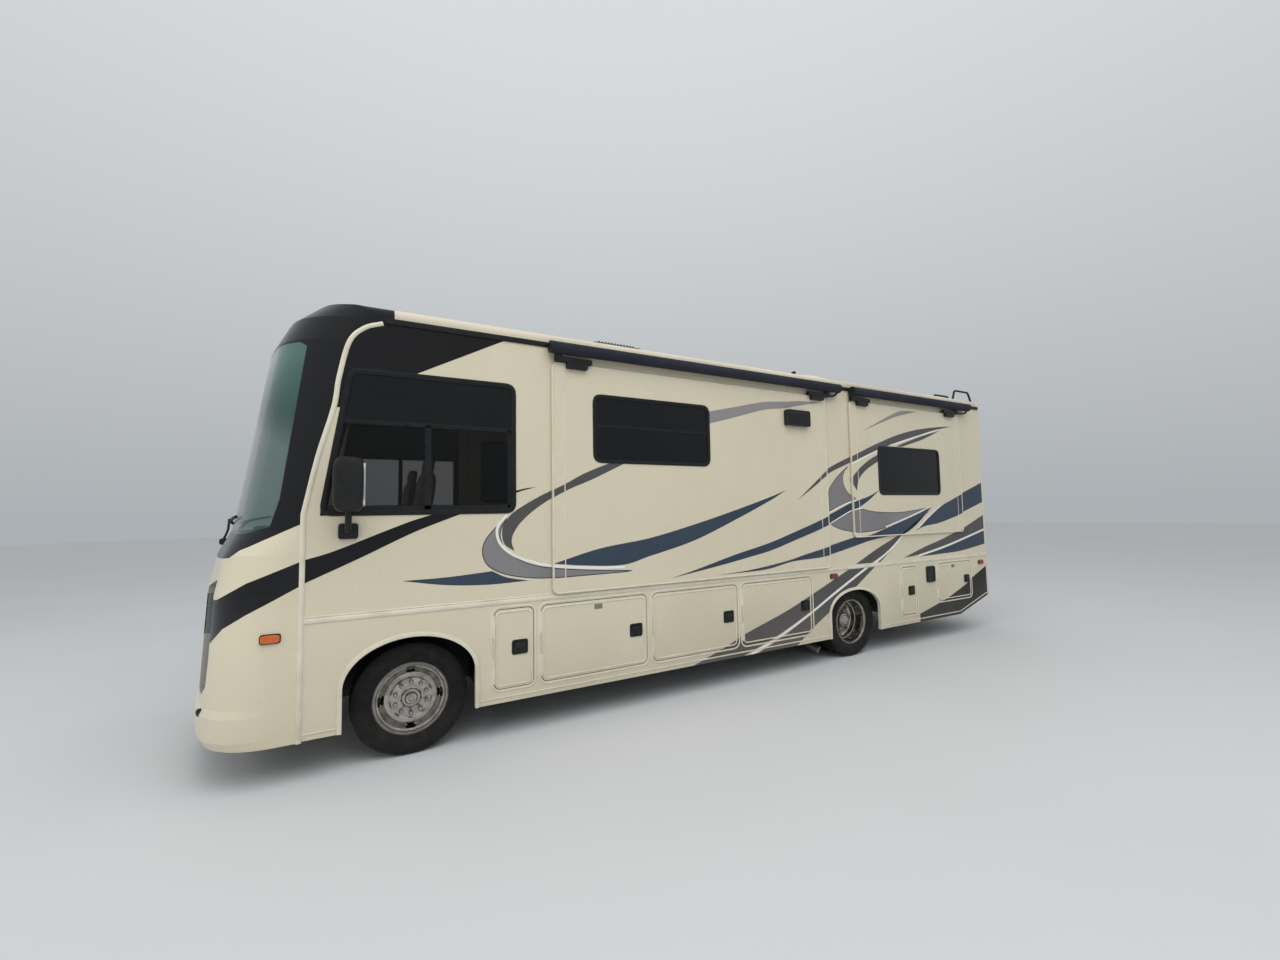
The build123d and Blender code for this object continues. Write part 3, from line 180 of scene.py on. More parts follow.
@dataclass(frozen=True)
class Finish:
    """One real material and what its surface shows.

    Sizes are in millimetres. `second` is the colour of what lies on or in the material,
    such as dust, grain or wear, and `mottle` is the most of it that shows. Road dust
    fades in from the height `dust_top`, in metres, down to `dust_full`.
    """

    name: str
    slot: str
    colour: str
    second: str
    mottle: float
    patch_mm: float
    roughness: float
    grain_mm: float
    grain_depth_mm: float
    rough_spread: float = 0.08
    stretch: Triple = (1, 1, 1)
    metallic: float = 0
    coat: float = 0
    coat_roughness: float = 0.08
    ior: float = 1.5
    specular: float = 0.5
    alpha: float = 1
    dust_top: float = 0
    dust_full: float = 0.25
    dust: str = "#8F8775"
    dust_share: float = 0.5

    def position(self, tree: Tree) -> Source:
        """Object coordinates, stretched along the grain."""
        place = add_node(tree, "TexCoord")
        return add_node(tree, "Mapping", {"Scale": self.stretch}, {"Vector": place.outputs["Object"]})

    def base_colour(self, tree: Tree, position: Source) -> Socket:
        """Colour with patches of the second colour, and dust that fades with height.

        Args:
            tree: the node tree.
            position: the coordinates to use.

        Returns:
            The colour socket.
        """
        patches = add_node(tree, "TexNoise", {"Scale": 1 / (self.patch_mm * MM), "Detail": 5.0},
                           {"Vector": position})
        share = add_node(tree, "MapRange",
                         {"interpolation_type": "SMOOTHERSTEP", "From Min": 0.3, "From Max": 0.8,
                          "To Min": 0.0, "To Max": self.mottle}, {"Value": patches})
        colour = add_node(tree, "Mix", {"data_type": "RGBA", 6: srgb(self.colour),
                                        7: srgb(self.second)}, {0: share}).outputs[2]
        if self.dust_top:
            height = add_node(tree, "MapRange",
                              {"From Min": self.dust_top, "From Max": self.dust_full, "To Min": 0.0,
                               "To Max": 1.0}, {"Value": object_axes(tree)[2]})
            spots = add_node(tree, "Math", {"operation": "MULTIPLY"}, {0: height, 1: patches})
            level = add_node(tree, "Math", {"operation": "MULTIPLY", 1: self.dust_share}, {0: spots})
            colour = add_node(tree, "Mix", {"data_type": "RGBA", 7: srgb(self.dust)},
                              {0: level, 6: colour}).outputs[2]
        return colour

    def build(self) -> bpy.types.Material:
        """Makes the material.

        Returns:
            The material, named for what it is.
        """
        material = bpy.data.materials.new(self.name)
        material.use_nodes = True
        tree = material.node_tree
        shader = tree.nodes["Principled BSDF"]
        position = self.position(tree)
        grain = add_node(tree, "TexNoise", {"Scale": 1 / (self.grain_mm * MM), "Detail": 3.0},
                         {"Vector": position})
        bump = add_node(tree, "Bump", {"Strength": 0.6, "Distance": self.grain_depth_mm * MM},
                        {"Height": grain})
        smear = add_node(tree, "TexNoise", {"Scale": 1.6 / (self.patch_mm * MM), "Detail": 4.0},
                         {"Vector": position})
        rough = add_node(tree, "MapRange",
                         {"From Min": 0.3, "From Max": 0.7,
                          "To Min": max(0, self.roughness - self.rough_spread),
                          "To Max": self.roughness + self.rough_spread}, {"Value": smear})
        for name, socket in (("Base Color", self.base_colour(tree, position)), ("Normal", bump.outputs[0]),
                             ("Roughness", rough.outputs[0])):
            tree.links.new(socket, shader.inputs[name])
        settings = {"Metallic": self.metallic, "Coat Weight": self.coat,
                    "Coat Roughness": self.coat_roughness, "Specular IOR Level": self.specular}
        if not self.metallic:
            settings["IOR"] = self.ior
        for name, value in settings.items():
            shader.inputs[name].default_value = value
        self.finish_alpha(tree, shader)
        return material

    def finish_alpha(self, tree: Tree, shader: Node) -> None:
        """Sets how much of the light the surface stops."""
        shader.inputs["Alpha"].default_value = self.alpha


@dataclass(frozen=True)
class CapPaint(Finish):
    """Cream gel coat with the black areas of the front cap painted on.

    The edges of the black areas are points of (ahead of the front axle, height), in
    millimetres, and run over the whole span.
    """

    black: str = "#151516"
    span: Pair = (0, 1500)
    rise: Pair = (0, 3500)
    surround_edge: tuple = ((0, 1750), (677, 1720), (707, 1706), (1000, 1563), (1053, 1540), (1117, 1490),
                            (1200, 1478), (1500, 1478))
    swoosh_top: tuple = ((0, 1470), (677, 1466), (707, 1453), (1000, 1328), (1182, 1215), (1500, 1215))
    swoosh_bottom: tuple = ((0, 1290), (677, 1300), (707, 1288), (1000, 1123), (1130, 1035), (1213, 930),
                            (1500, 930))

    def edge(self, tree: Tree, along: Source, points: tuple) -> Source:
        """Height of an edge, as a share of the rise, for a share along the span."""
        curve = add_node(tree, "FloatCurve", {}, {"Value": along})
        line = curve.mapping.curves[0]
        shares = [((x - self.span[0]) / (self.span[1] - self.span[0]),
                   (z - self.rise[0]) / (self.rise[1] - self.rise[0])) for x, z in points]
        line.points[0].location = shares[0]
        line.points[1].location = shares[-1]
        for share in shares[1:-1]:
            line.points.new(*share)
        for point in line.points:
            point.handle_type = "VECTOR"
        curve.mapping.update()
        return curve

    def base_colour(self, tree: Tree, position: Source) -> Socket:
        """Cream, with black over the windshield's surround and along the front swoosh."""
        cream = super().base_colour(tree, position)
        axes = object_axes(tree)
        along, height = (
            add_node(tree, "MapRange", {"From Min": low, "From Max": high}, {"Value": axis})
            for low, high, axis in ((DATUM.x(self.span[0]), DATUM.x(self.span[1]), axes[0]),
                                    (self.rise[0] * MM, self.rise[1] * MM, axes[2])))
        over_edge, under_top, over_bottom = (
            add_node(tree, "Math", {"operation": operation},
                     {0: height, 1: self.edge(tree, along, points)})
            for operation, points in (("GREATER_THAN", self.surround_edge), ("LESS_THAN", self.swoosh_top),
                                      ("GREATER_THAN", self.swoosh_bottom)))
        swoosh = add_node(tree, "Math", {"operation": "MULTIPLY"}, {0: under_top, 1: over_bottom})
        painted = add_node(tree, "Math", {"operation": "MAXIMUM"}, {0: over_edge, 1: swoosh})
        return add_node(tree, "Mix", {"data_type": "RGBA", 7: srgb(self.black)},
                        {0: painted, 6: cream}).outputs[2]


@dataclass(frozen=True)
class ShadedGlass(Finish):
    """Tinted glass that stops more light towards its top, between two heights in millimetres: painted shade
    of the dark cab behind the glass, laid on like a tint band.
    """

    fade: Pair = (2480, 2900)
    shade: float = 0.9

    def finish_alpha(self, tree: Tree, shader: Node) -> None:
        """Stops more light towards the top, as painted shade of the dark cab behind the glass."""
        # Painted shade: the alpha rises with height, so the top of the glass shows its own dark tint in place
        # of the cab's shaded inside
        alpha = add_node(tree, "MapRange",
                         {"From Min": self.fade[0] * MM, "From Max": self.fade[1] * MM,
                          "To Min": self.alpha, "To Max": self.shade}, {"Value": object_axes(tree)[2]})
        tree.links.new(alpha.outputs[0], shader.inputs["Alpha"])


@dataclass(frozen=True)
class BandedGlass(Finish):
    """Privacy glass that is clearer in a band, in millimetres above the ground."""

    band: Pair = (1830, 2415)
    ahead: float = -690
    clear_alpha: float = 0.42

    def finish_alpha(self, tree: Tree, shader: Node) -> None:
        """Lets more light through inside the band of the cab window."""
        axes = object_axes(tree)
        clear = None
        for operation, axis, limit in (("GREATER_THAN", 2, self.band[0] * MM),
                                       ("LESS_THAN", 2, self.band[1] * MM),
                                       ("GREATER_THAN", 0, DATUM.x(self.ahead))):
            test = add_node(tree, "Math", {"operation": operation, 1: limit}, {0: axes[axis]})
            clear = test if clear is None else add_node(
                tree, "Math", {"operation": "MULTIPLY"}, {0: clear, 1: test})
        alpha = add_node(tree, "MapRange", {"To Min": self.alpha, "To Max": self.clear_alpha},
                         {"Value": clear})
        tree.links.new(alpha.outputs[0], shader.inputs["Alpha"])


# Each finish gives its name, slot, colour, second colour, mottle, patch mm, roughness, grain mm and
# grain depth mm, and then by name what it has besides.
CREAM = "#D6CDB4"
# Gel coat on glass fibre: even and glossy, with a faint ripple and dust near the road
GEL_COAT = Finish("gel_coat_cream", "cream", CREAM, "#C9BFA4", 0.35, 900, 0.26, 30, 0.08, coat=0.3,
                  dust_top=1.0, dust_share=0.55)
CAP_PAINT = CapPaint("gel_coat_front_cap", "cream", CREAM, "#C9BFA4", 0.35, 900, 0.26, 30, 0.08, coat=0.1,
                     specular=0.3, dust_top=0.9, dust_share=0.5)
# Roof membrane: the same cream, chalky and streaked by rain
ROOF_SKIN = Finish("roof_membrane", "cream", "#D2CAB4", "#A9A08A", 0.5, 300, 0.6, 12, 0.2,
                   stretch=(0.3, 1, 1))
# Extruded vinyl trim: a lighter cream than the panels, soft sheen
TRIM_VINYL = Finish("trim_vinyl_cream", "cream", "#DDD6C2", "#B8AF99", 0.4, 160, 0.38, 4, 0.03, dust_top=0.8)
# Cast vinyl film: thin, smooth, satin gloss
FILM = Finish("film", "black", "#151516", "#202021", 0.4, 500, 0.34, 25, 0.04, specular=0.25, dust_top=0.8,
              dust_share=0.2)
FILM_COLOURS = {
    "black": ("#151516", "#202021"),
    "navy": ("#35414F", "#3E4C5B"),
    "charcoal": ("#514F4F", "#5E5B5A"),
    "grey": ("#7D7B7C", "#8E8C8D"),
    "ash": ("#8C8887", "#979392"),
    "white": ("#ECEAE4", "#DCD8CC"),
    "edge": ("#2B2A2E", "#38373B"),
}
FILMS = {key: replace(FILM, name=f"film_{key}", colour=first, second=second)
         for key, (first, second) in FILM_COLOURS.items()}
# Moulded ABS: fine leather grain, dull black
ABS_BLACK = Finish("abs_black", "black_matte", "#171718", "#2C2B28", 0.35, 60, 0.48, 1.6, 0.08, specular=0.35)
# Gloss ABS: a smooth black moulding that reflects the sky
ABS_GLOSS = Finish("abs_gloss_black", "black", "#121214", "#242424", 0.2, 150, 0.16, 8, 0.02, coat=0.1,
                   specular=0.4)
# Window frame: powder-coated aluminium extrusion, satin black
FRAME_BLACK = Finish("window_frame_black", "black", "#151617", "#2A2A29", 0.3, 90, 0.34, 2, 0.03,
                     specular=0.3)
# Chassis steel: brush-applied black paint with rust bleeding through
CHASSIS_PAINT = Finish("chassis_paint", "frame_steel", "#1E1D1C", "#5B3A26", 0.5, 90, 0.62, 5, 0.2,
                       dust_top=0.9, dust="#5E5648")
# Cast iron and castings: rough, oxidised brown
CASTING = Finish("rusted_casting", "cast", "#3B332D", "#6B4328", 0.6, 50, 0.75, 3, 0.4, metallic=0.3)
# Stainless wheel liner: mirror polish, dulled by brake dust
STAINLESS = Finish("stainless_polished", "chrome", "#B4B0AA", "#5E5850", 0.5, 45, 0.09, 6, 0.02,
                   rough_spread=0.06, metallic=1)
# Painted steel wheel rim: grey enamel with dust in its gutter
RIM_STEEL = Finish("rim_steel", "chrome", "#77746E", "#45403A", 0.6, 40, 0.42, 3, 0.05, metallic=0.7)
# Aluminised steel pipe: dull silver, browned by heat
PIPE_STEEL = Finish("aluminised_pipe", "chrome", "#8B8680", "#5C4634", 0.6, 120, 0.45, 3, 0.1, metallic=0.9)
# Tyre rubber: black with brown road dust on the wall
TYRE_RUBBER = Finish("tyre_rubber", "tyre", "#111111", "#262522", 0.4, 70, 0.75, 2.5, 0.15, specular=0.3,
                     dust_top=0.4, dust="#3A3732", dust_share=0.35)
# Rubber seal: extruded, matt
SEAL_RUBBER = Finish("seal_rubber", "seal", "#161616", "#2C2B28", 0.4, 50, 0.7, 2, 0.05)
# Privacy glass: nearly black, mirror smooth
DARK_GLASS = Finish("privacy_glass", "glass", "#08090A", "#101214", 0.5, 300, 0.03, 400, 0.3,
                    rough_spread=0.02, alpha=0.93, specular=0.35)
CAB_GLASS = BandedGlass("cab_glass", "glass", "#08090A", "#101214", 0.5, 300, 0.03, 400, 0.3,
                        rough_spread=0.02, alpha=0.94, specular=0.35)
# Laminated windshield: green tint with wide soft ripples, and painted shade of the dark cab behind it that
# thickens towards its top
SHIELD_GLASS = ShadedGlass("windshield_glass", "shield", "#40695D", "#31544A", 0.4, 500, 0.02, 600, 0.4,
                           rough_spread=0.01, alpha=0.36, coat=0.8)
# Polycarbonate lenses: clear, amber and red, moulded with flutes
LENS_CLEAR = Finish("lens_clear", "lamp_clear", "#1B1C1E", "#232528", 0.3, 200, 0.05, 60, 0.1,
                    rough_spread=0.02, alpha=0.34, specular=0.35)
LENS_AMBER = Finish("lens_amber", "lamp_clear", "#D0601A", "#A23F0C", 0.6, 30, 0.15, 6, 0.5, coat=0.5)
LENS_RED = Finish("lens_red", "lamp_red", "#8E1714", "#5A0D0C", 0.6, 40, 0.15, 6, 0.5, coat=0.5)
# Bright reflector: vacuum-plated bowl behind the clear lens
REFLECTOR = Finish("plated_reflector", "chrome", "#D5D7D8", "#9A9C9E", 0.3, 30, 0.1, 9, 0.2, metallic=1)
# Awning cloth: woven acrylic, navy, with a slight sheen of weathering
AWNING_CLOTH = Finish("awning_acrylic", "awning", "#1F222C", "#31353F", 0.5, 260, 0.85, 2, 0.2,
                      stretch=(0.4, 1, 1))
# Upholstery: tan imitation leather with a pebble grain
SEAT_LEATHER = Finish("seat_leatherette", "fabric", "#7D6A55", "#5F4E3D", 0.4, 120, 0.5, 2.2, 0.06)
# Dashboard: slush-moulded vinyl, dark brown-grey
DASH_VINYL = Finish("dash_vinyl", "dash", "#2B2826", "#3A3633", 0.4, 100, 0.55, 2, 0.15)
# Floor: printed vinyl planks, mid brown
PLANK_VINYL = Finish("plank_vinyl", "deck", "#6B5541", "#4D3B2B", 0.7, 220, 0.45, 6, 0.1,
                     stretch=(0.12, 1, 1))
# Galvanised sheet: spangled zinc with dirt
GALVANISED = Finish("galvanised_sheet", "liner", "#8D9092", "#63625D", 0.6, 35, 0.45, 5, 0.05, metallic=0.8)
# Aluminium: extruded, lightly oxidised
ALUMINIUM = Finish("aluminium_extrusion", "liner", "#A9ABAC", "#7D7E7C", 0.4, 70, 0.35, 2, 0.03,
                   stretch=(0.2, 1, 1), metallic=1)
# Mirror glass: silvered, clean
MIRROR_GLASS = Finish("mirror_silvered", "chrome", "#D8DCDD", "#C2C7C9", 0.1, 200, 0.02, 300, 0.05,
                      rough_spread=0.01, metallic=1)
# Grey label stock: printed polyester with nothing on it
LABEL_GREY = Finish("label_blank", "black_matte", "#77736C", "#8F8B84", 0.3, 30, 0.4, 2, 0.02)
# The beginnings of node names that have a finish; the longest counts, and the rest are gel coat
NODE_FINISHES = {start: finish for finish, starts in (
    (CAP_PAINT, "front_cap"), (SHIELD_GLASS, "windshield"), (ABS_GLOSS, "grille"), (LENS_CLEAR, "headlamps"),
    (CAB_GLASS, "side_windows"), (ROOF_SKIN, "roof"), (ABS_BLACK, "roof_units ladder mirrors"),
    (PLANK_VINYL, "floor"), (GALVANISED, "storage_left storage_right"), (SEAL_RUBBER, "slide_seals"),
    (TRIM_VINYL, "door_hinges patio_awning"), (DASH_VINYL, "dashboard steering_wheel"),
    (LENS_RED, "tail_lamps"), (SEAT_LEATHER, "cab_seats"), (CASTING, "engine knuckle"),
    (PIPE_STEEL, "exhaust"), (CHASSIS_PAINT, "chassis_frame fuel_tank front_axle rear_axle entry_step"),
    (TYRE_RUBBER, "tyre"), (RIM_STEEL, "wheel"), (DARK_GLASS, "entry_window slide_window"),
    (AWNING_CLOTH, "slide_awning"),
) for start in starts.split()}


class Paintshop:
    """Builds each material once and gives it to pieces."""

    def __init__(self) -> None:
        """Starts with no material made."""
        self.made: dict[str, bpy.types.Material] = {}

    def dress(self, piece: Piece, finish: Finish) -> None:
        """Puts a finish on a piece's only material slot, building it when it is first asked for."""
        if finish.name not in self.made:
            self.made[finish.name] = finish.build()
        piece.data.materials.clear()
        piece.data.materials.append(self.made[finish.name])

    def dress_frame(self) -> None:
        """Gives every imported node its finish."""
        for name, node in frame["nodes"].items():
            fits = [start for start in NODE_FINISHES if name.startswith(start)]
            self.dress(node, NODE_FINISHES[max(fits, key=len)] if fits else GEL_COAT)


PAINT = Paintshop()


@dataclass
class Shell:
    """Points and faces on their way to becoming a piece."""

    points: Points
    faces: list

    @classmethod
    def grid(cls, points: Points, wrap_rows: bool = False, wrap_columns: bool = False,
             caps: bool = False) -> "Shell":
        """A surface over a grid of points.

        Args:
            points: an array of rows, columns and three coordinates.
            wrap_rows: closes the surface along its rows.
            wrap_columns: closes each row.
            caps: closes the first and the last row with a face.

        Returns:
            The shell.
        """
        rows, columns = points.shape[:2]
        row, column = np.meshgrid(np.arange(rows if wrap_rows else rows - 1),
                                  np.arange(columns if wrap_columns else columns - 1), indexing="ij")
        next_row, next_column = (row + 1) % rows, (column + 1) % columns
        corners = ((row, column), (next_row, column), (next_row, next_column), (row, next_column))
        faces = np.stack([r * columns + c for r, c in corners], axis=-1).reshape(-1, 4).tolist()
        if caps:
            faces += [list(range(columns)), list(range(rows * columns - 1, (rows - 1) * columns - 1, -1))]
        return cls(points.reshape(-1, 3), faces)

    @staticmethod
    def join(shells: Sequence["Shell"]) -> "Shell":
        """Several shells as one."""
        starts = np.cumsum([0] + [len(s.points) for s in shells])
        faces = [[int(i + start) for i in face] for s, start in zip(shells, starts) for face in s.faces]
        return Shell(np.concatenate([s.points for s in shells]), faces)

    def mirrored(self) -> "Shell":
        """The same shell on the other side of the vehicle, its faces turned to match."""
        return Shell(self.points * (1, -1, 1), [list(reversed(face)) for face in self.faces])

    def piece(self, name: str, finish: Finish, body: str = "coach", raw: bool = False, subdivide: int = 0,
              bevel_mm: float = 0, wall_mm: float = 0) -> Piece:
        """Makes the shell a piece that rides on a body.

        Args:
            name: the piece's name.
            finish: its finish.
            body: the body that it rides on.
            raw: leaves its faces as they are and flat, and otherwise merges doubles, turns
                the faces outwards and shades them smooth up to SHARP_EDGE.
            subdivide: levels of subdivision.
            bevel_mm: width of a bevel on its sharp edges.
            wall_mm: thickness given to an open surface.

        Returns:
            The piece.
        """
        mesh = bpy.data.meshes.new(name)
        mesh.from_pydata(self.points.tolist(), [], self.faces)
        if not raw:
            work = bmesh.new()
            work.from_mesh(mesh)
            bmesh.ops.remove_doubles(work, verts=work.verts, dist=SAME_PLACE)
            bmesh.ops.recalc_face_normals(work, faces=work.faces)
            work.to_mesh(mesh)
            work.free()
            mesh.shade_smooth()
            mesh.set_sharp_from_angle(angle=SHARP_EDGE)
        piece = bpy.data.objects.new(name, mesh)
        bpy.context.scene.collection.objects.link(piece)
        for kind, wanted, settings in (
                ("SOLIDIFY", wall_mm, {"thickness": wall_mm * MM, "offset": 1}),
                ("BEVEL", bevel_mm, {"width": bevel_mm * MM, "segments": 2, "limit_method": "ANGLE"}),
                ("SUBSURF", subdivide, {"levels": subdivide, "render_levels": subdivide})):
            if wanted:
                modifier = piece.modifiers.new(kind.lower(), kind)
                for key, value in settings.items():
                    setattr(modifier, key, value)
        PAINT.dress(piece, finish)
        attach(piece, body)
        log.info("%s on %s", name, body)
        return piece


def circle(steps: int) -> Points:
    """Even angles round a circle, in radians."""
    return np.linspace(0, 2 * math.pi, steps, endpoint=False)


def space_points(x: ArrayLike, y: ArrayLike, z: ArrayLike) -> Points:
    """Points from their three coordinates, each stretched over the shape of the others."""
    return np.stack(np.broadcast_arrays(x, y, z), axis=-1)


def unit(vectors: Points) -> Points:
    """Vectors in rows, each made one long."""
    return vectors / np.maximum(np.linalg.norm(vectors, axis=1, keepdims=True), 1e-9)


def smooth_curve(points: ArrayLike, steps: int) -> Points:
    """A Catmull-Rom curve: each span is the cubic whose end slopes are half the step between neighbours.

    Args:
        points: the control points.
        steps: points made in each span.

    Returns:
        Points along the curve.
    """
    knots = np.asarray(points, float)
    padded = np.vstack([2 * knots[0] - knots[1], knots, 2 * knots[-1] - knots[-2]])
    before, start, end, after = padded[:-3], padded[1:-2], padded[2:-1], padded[3:]
    t = np.arange(steps)[None, :, None] / steps
    cubic = 0.5 * (2 * start[:, None] + (end - before)[:, None] * t
                   + (2 * before - 5 * start + 4 * end - after)[:, None] * t ** 2
                   + (3 * start - before - 3 * end + after)[:, None] * t ** 3)
    return np.vstack([cubic.reshape(-1, knots.shape[1]), knots[-1]])


def rounded(corners: ArrayLike, radius: float, steps: int = 6) -> Points:
    """A closed outline with each corner turned by a quarter-like arc of the given reach.

    Each corner is the quadratic curve from a point a radius before it to one a radius
    after it, which is close to an arc.

    Args:
        corners: the corners in order.
        radius: how far from the corner the turn starts.
        steps: points in a turn.

    Returns:
        Points round the outline.
    """
    corner = np.asarray(corners, float)
    to_last = np.roll(corner, 1, axis=0) - corner
    to_next = np.roll(corner, -1, axis=0) - corner
    start = corner + radius * to_last / np.linalg.norm(to_last, axis=1, keepdims=True)
    end = corner + radius * to_next / np.linalg.norm(to_next, axis=1, keepdims=True)
    t = np.linspace(0, 1, steps)[None, :, None]
    arc = (1 - t) ** 2 * start[:, None] + 2 * t * (1 - t) * corner[:, None] + t ** 2 * end[:, None]
    return arc.reshape(-1, corner.shape[1])


def rectangle(x0: float, x1: float, z0: float, z1: float) -> Points:
    """Corners of a rectangle in side view, anticlockwise."""
    return np.array([(x0, z0), (x1, z0), (x1, z1), (x0, z1)], float)


def node_outline(node: str, inset: float, corner: float) -> Points:
    """A rounded rectangle in side view that lies the inset inside the edges of a node's box."""
    low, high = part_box(node)
    return rounded(rectangle(low.x + inset, high.x - inset, low.z + inset, high.z - inset), corner, 8)


def sweep(path: Points, profile: ArrayLike, side: Side, start: float = DATUM.half,
          closed: bool = False) -> Shell:
    """A profile carried along a path in side view.

    Each point is the path's point, plus the profile's first number along the path's
    normal, and lies the profile's second number outwards from the starting distance.

    Args:
        path: points of (x, z) in metres.
        profile: points of (across, outwards) in metres, a closed section.
        side: the side of the vehicle.
        start: distance of the profile's zero from the centreline.
        closed: whether the path is a loop.

    Returns:
        The shell.
    """
    section = np.asarray(profile, float)
    if closed:
        along = np.roll(path, -1, axis=0) - np.roll(path, 1, axis=0)
    else:
        along = np.gradient(path, axis=0)
    normal = unit(np.stack([-along[:, 1], along[:, 0]], axis=1))
    flat = path[:, None, :] + normal[:, None, :] * section[None, :, 0:1]
    return Shell.grid(space_points(flat[..., 0], side.value * (start + section[:, 1]), flat[..., 1]),
                      wrap_rows=closed, wrap_columns=True, caps=not closed)


def moulding(width: float, height: float) -> Points:
    """A closed half-round section: half an ellipse of the width, rising by the height."""
    angle = np.linspace(0, math.pi, 9)
    return np.stack([np.cos(angle) * width / 2, np.sin(angle) * height], axis=1)


def revolve(profile: ArrayLike, centre: ArrayLike, way: int, segments: int) -> Shell:
    """A profile of (radius, distance along Y) turned about a wheel's axis.

    Args:
        profile: points in metres; a radius of zero closes the surface.
        centre: the point on the axis that distances run from.
        way: 1 or -1, the way that distances run along Y.
        segments: steps round the circle.

    Returns:
        The shell.
    """
    radius, along = np.asarray(profile, float).T
    angle = circle(segments)[:, None]
    return Shell.grid(space_points(centre[0] + radius * np.cos(angle), centre[1] + way * along,
                                   centre[2] + radius * np.sin(angle)), wrap_rows=True)


def tube(path: Points, radius: float, sides: int) -> Shell:
    """A round tube along a path in space.

    Each ring lies across the path, on two directions square to it: one square to the
    vehicle's length where that is possible, and the cross product with the path.

    Args:
        path: points in metres.
        radius: the tube's radius.
        sides: points round it.

    Returns:
        The shell, its ends closed.
    """
    along = unit(np.gradient(path, axis=0))
    reference = np.where(np.abs(along[:, 1:2]) < 0.9, (0.0, 1.0, 0.0), (0.0, 0.0, 1.0))
    first = unit(np.cross(along, reference))
    second = np.cross(along, first)
    angle = circle(sides)
    ring = path[:, None] + radius * (np.cos(angle)[None, :, None] * first[:, None]
                                     + np.sin(angle)[None, :, None] * second[:, None])
    return Shell.grid(ring, wrap_columns=True, caps=True)


def soft_box(centre: ArrayLike, size: ArrayLike, square: float, rings: int, sides: int) -> Shell:
    """A box with all its edges rounded: a superellipsoid.

    A point is the half size times the cosine and sine of two angles, each raised to two
    over the squareness with its sign kept.

    Args:
        centre: the middle.
        size: full sizes along X, Y and Z.
        square: 2 for an ellipsoid, more for a squarer box.
        rings: rows from bottom to top.
        sides: points round each row.

    Returns:
        The shell.
    """
    power = 2 / square
    across = circle(sides)
    up = np.linspace(-math.pi / 2, math.pi / 2, rings)[:, None]

    def bent(value: Points) -> Points:
        """The value's size raised to the power, with its sign."""
        return np.sign(value) * np.abs(value) ** power

    x = bent(np.cos(up)) * bent(np.cos(across))
    y = bent(np.cos(up)) * bent(np.sin(across))
    points = space_points(x, y, bent(np.sin(up))) * np.asarray(size, float) / 2 + np.asarray(centre, float)
    return Shell.grid(points, wrap_columns=True, caps=True)


def plate(outline: Points, side: Side, inner: float, outer: float) -> Shell:
    """A flat plate: a side-view outline between two distances from the centreline."""
    levels = np.array([inner, outer])[:, None] * side.value
    return Shell.grid(space_points(outline[:, 0], levels, outline[:, 1]), wrap_columns=True, caps=True)


def inside(points: Points, starts: Points, ends: Points) -> Points:
    """Which points lie inside closed outlines, by counting the edges that a ray along +X crosses.

    Args:
        points: points to test, in a plane.
        starts: each edge's first end.
        ends: each edge's second end.

    Returns:
        True for each point inside an odd number of outlines.
    """
    px, pz = points[:, 0:1], points[:, 1:2]
    x0, z0, x1, z1 = starts[:, 0], starts[:, 1], ends[:, 0], ends[:, 1]
    spans = (z0 > pz) != (z1 > pz)
    with np.errstate(divide="ignore", invalid="ignore"):
        crossing = x0 + (pz - z0) * (x1 - x0) / (z1 - z0)
    return (np.sum(spans & (crossing > px), axis=1) % 2).astype(bool)


def face_edges(node: str, side: Side, distance: float) -> tuple[Points, Points]:
    """The boundary of a node's flat outer face.

    A triangle belongs to the face if its three corners lie at the distance, and an edge
    is on the boundary if only one such triangle has it.

    Args:
        node: the CAD node.
        side: the side of the vehicle.
        distance: the face's distance from the centreline.

    Returns:
        Starts and ends of the edges, as (x, z).
    """
    mesh = frame["nodes"][node].data
    points = np.zeros((len(mesh.vertices), 3))
    mesh.vertices.foreach_get("co", points.ravel())
    triangles = np.zeros((len(mesh.loops) // 3, 3), int)
    mesh.loops.foreach_get("vertex_index", triangles.ravel())
    keys = np.round(points * MERGE_STEPS).astype(np.int64)
    _, first, same = np.unique(keys, axis=0, return_index=True, return_inverse=True)
    flat = np.abs(points[:, 1] * side.value - distance) < FLAT
    triangles = same.reshape(-1)[triangles[flat[triangles].all(axis=1)]]
    a, b, c = triangles.T
    triangles = triangles[(a != b) & (b != c) & (a != c)]
    edges = np.sort(np.concatenate([triangles[:, ends] for ends in ([0, 1], [1, 2], [2, 0])]), axis=1)
    edges, count = np.unique(edges, axis=0, return_counts=True)
    border = edges[count == 1]
    place = points[first][:, [0, 2]]
    return place[border[:, 0]], place[border[:, 1]]


@dataclass(frozen=True)
class Stripe:
    """One area of film: a closed outline of smooth edges that meet at corners."""

    colour: str
    edges: tuple

    def outline(self) -> Points:
        """Points round the outline, in side view, in metres."""
        runs = [smooth_curve(edge, 7)[:-1] for edge in self.edges]
        return DATUM.side_points(np.concatenate(runs))


@dataclass(frozen=True)
class Rim(Stripe):
    """The dark line that shows round a stripe: the same outline, a little larger, laid under it."""

    width: float = 7

    def outline(self) -> Points:
        """The outline moved outwards along the mean of the normals of its two edges at each point."""
        inner = super().outline()
        after = np.roll(inner, -1, axis=0)
        along = unit(after - np.roll(inner, 1, axis=0))
        turn = np.sign(np.sum(inner[:, 0] * after[:, 1] - after[:, 0] * inner[:, 1]))
        return inner + turn * self.width * MM * np.stack([along[:, 1], -along[:, 0]], axis=1)


def band(colour: str, top: list, bottom: list) -> Stripe:
    """A stripe between two edges that meet at its ends or are closed by straight cuts."""
    edges = [tuple(top)]
    if top[-1] != bottom[-1]:
        edges.append((top[-1], bottom[-1]))
    edges.append(tuple(reversed(bottom)))
    if top[0] != bottom[0]:
        edges.append((bottom[0], top[0]))
    return Stripe(colour, tuple(edges))


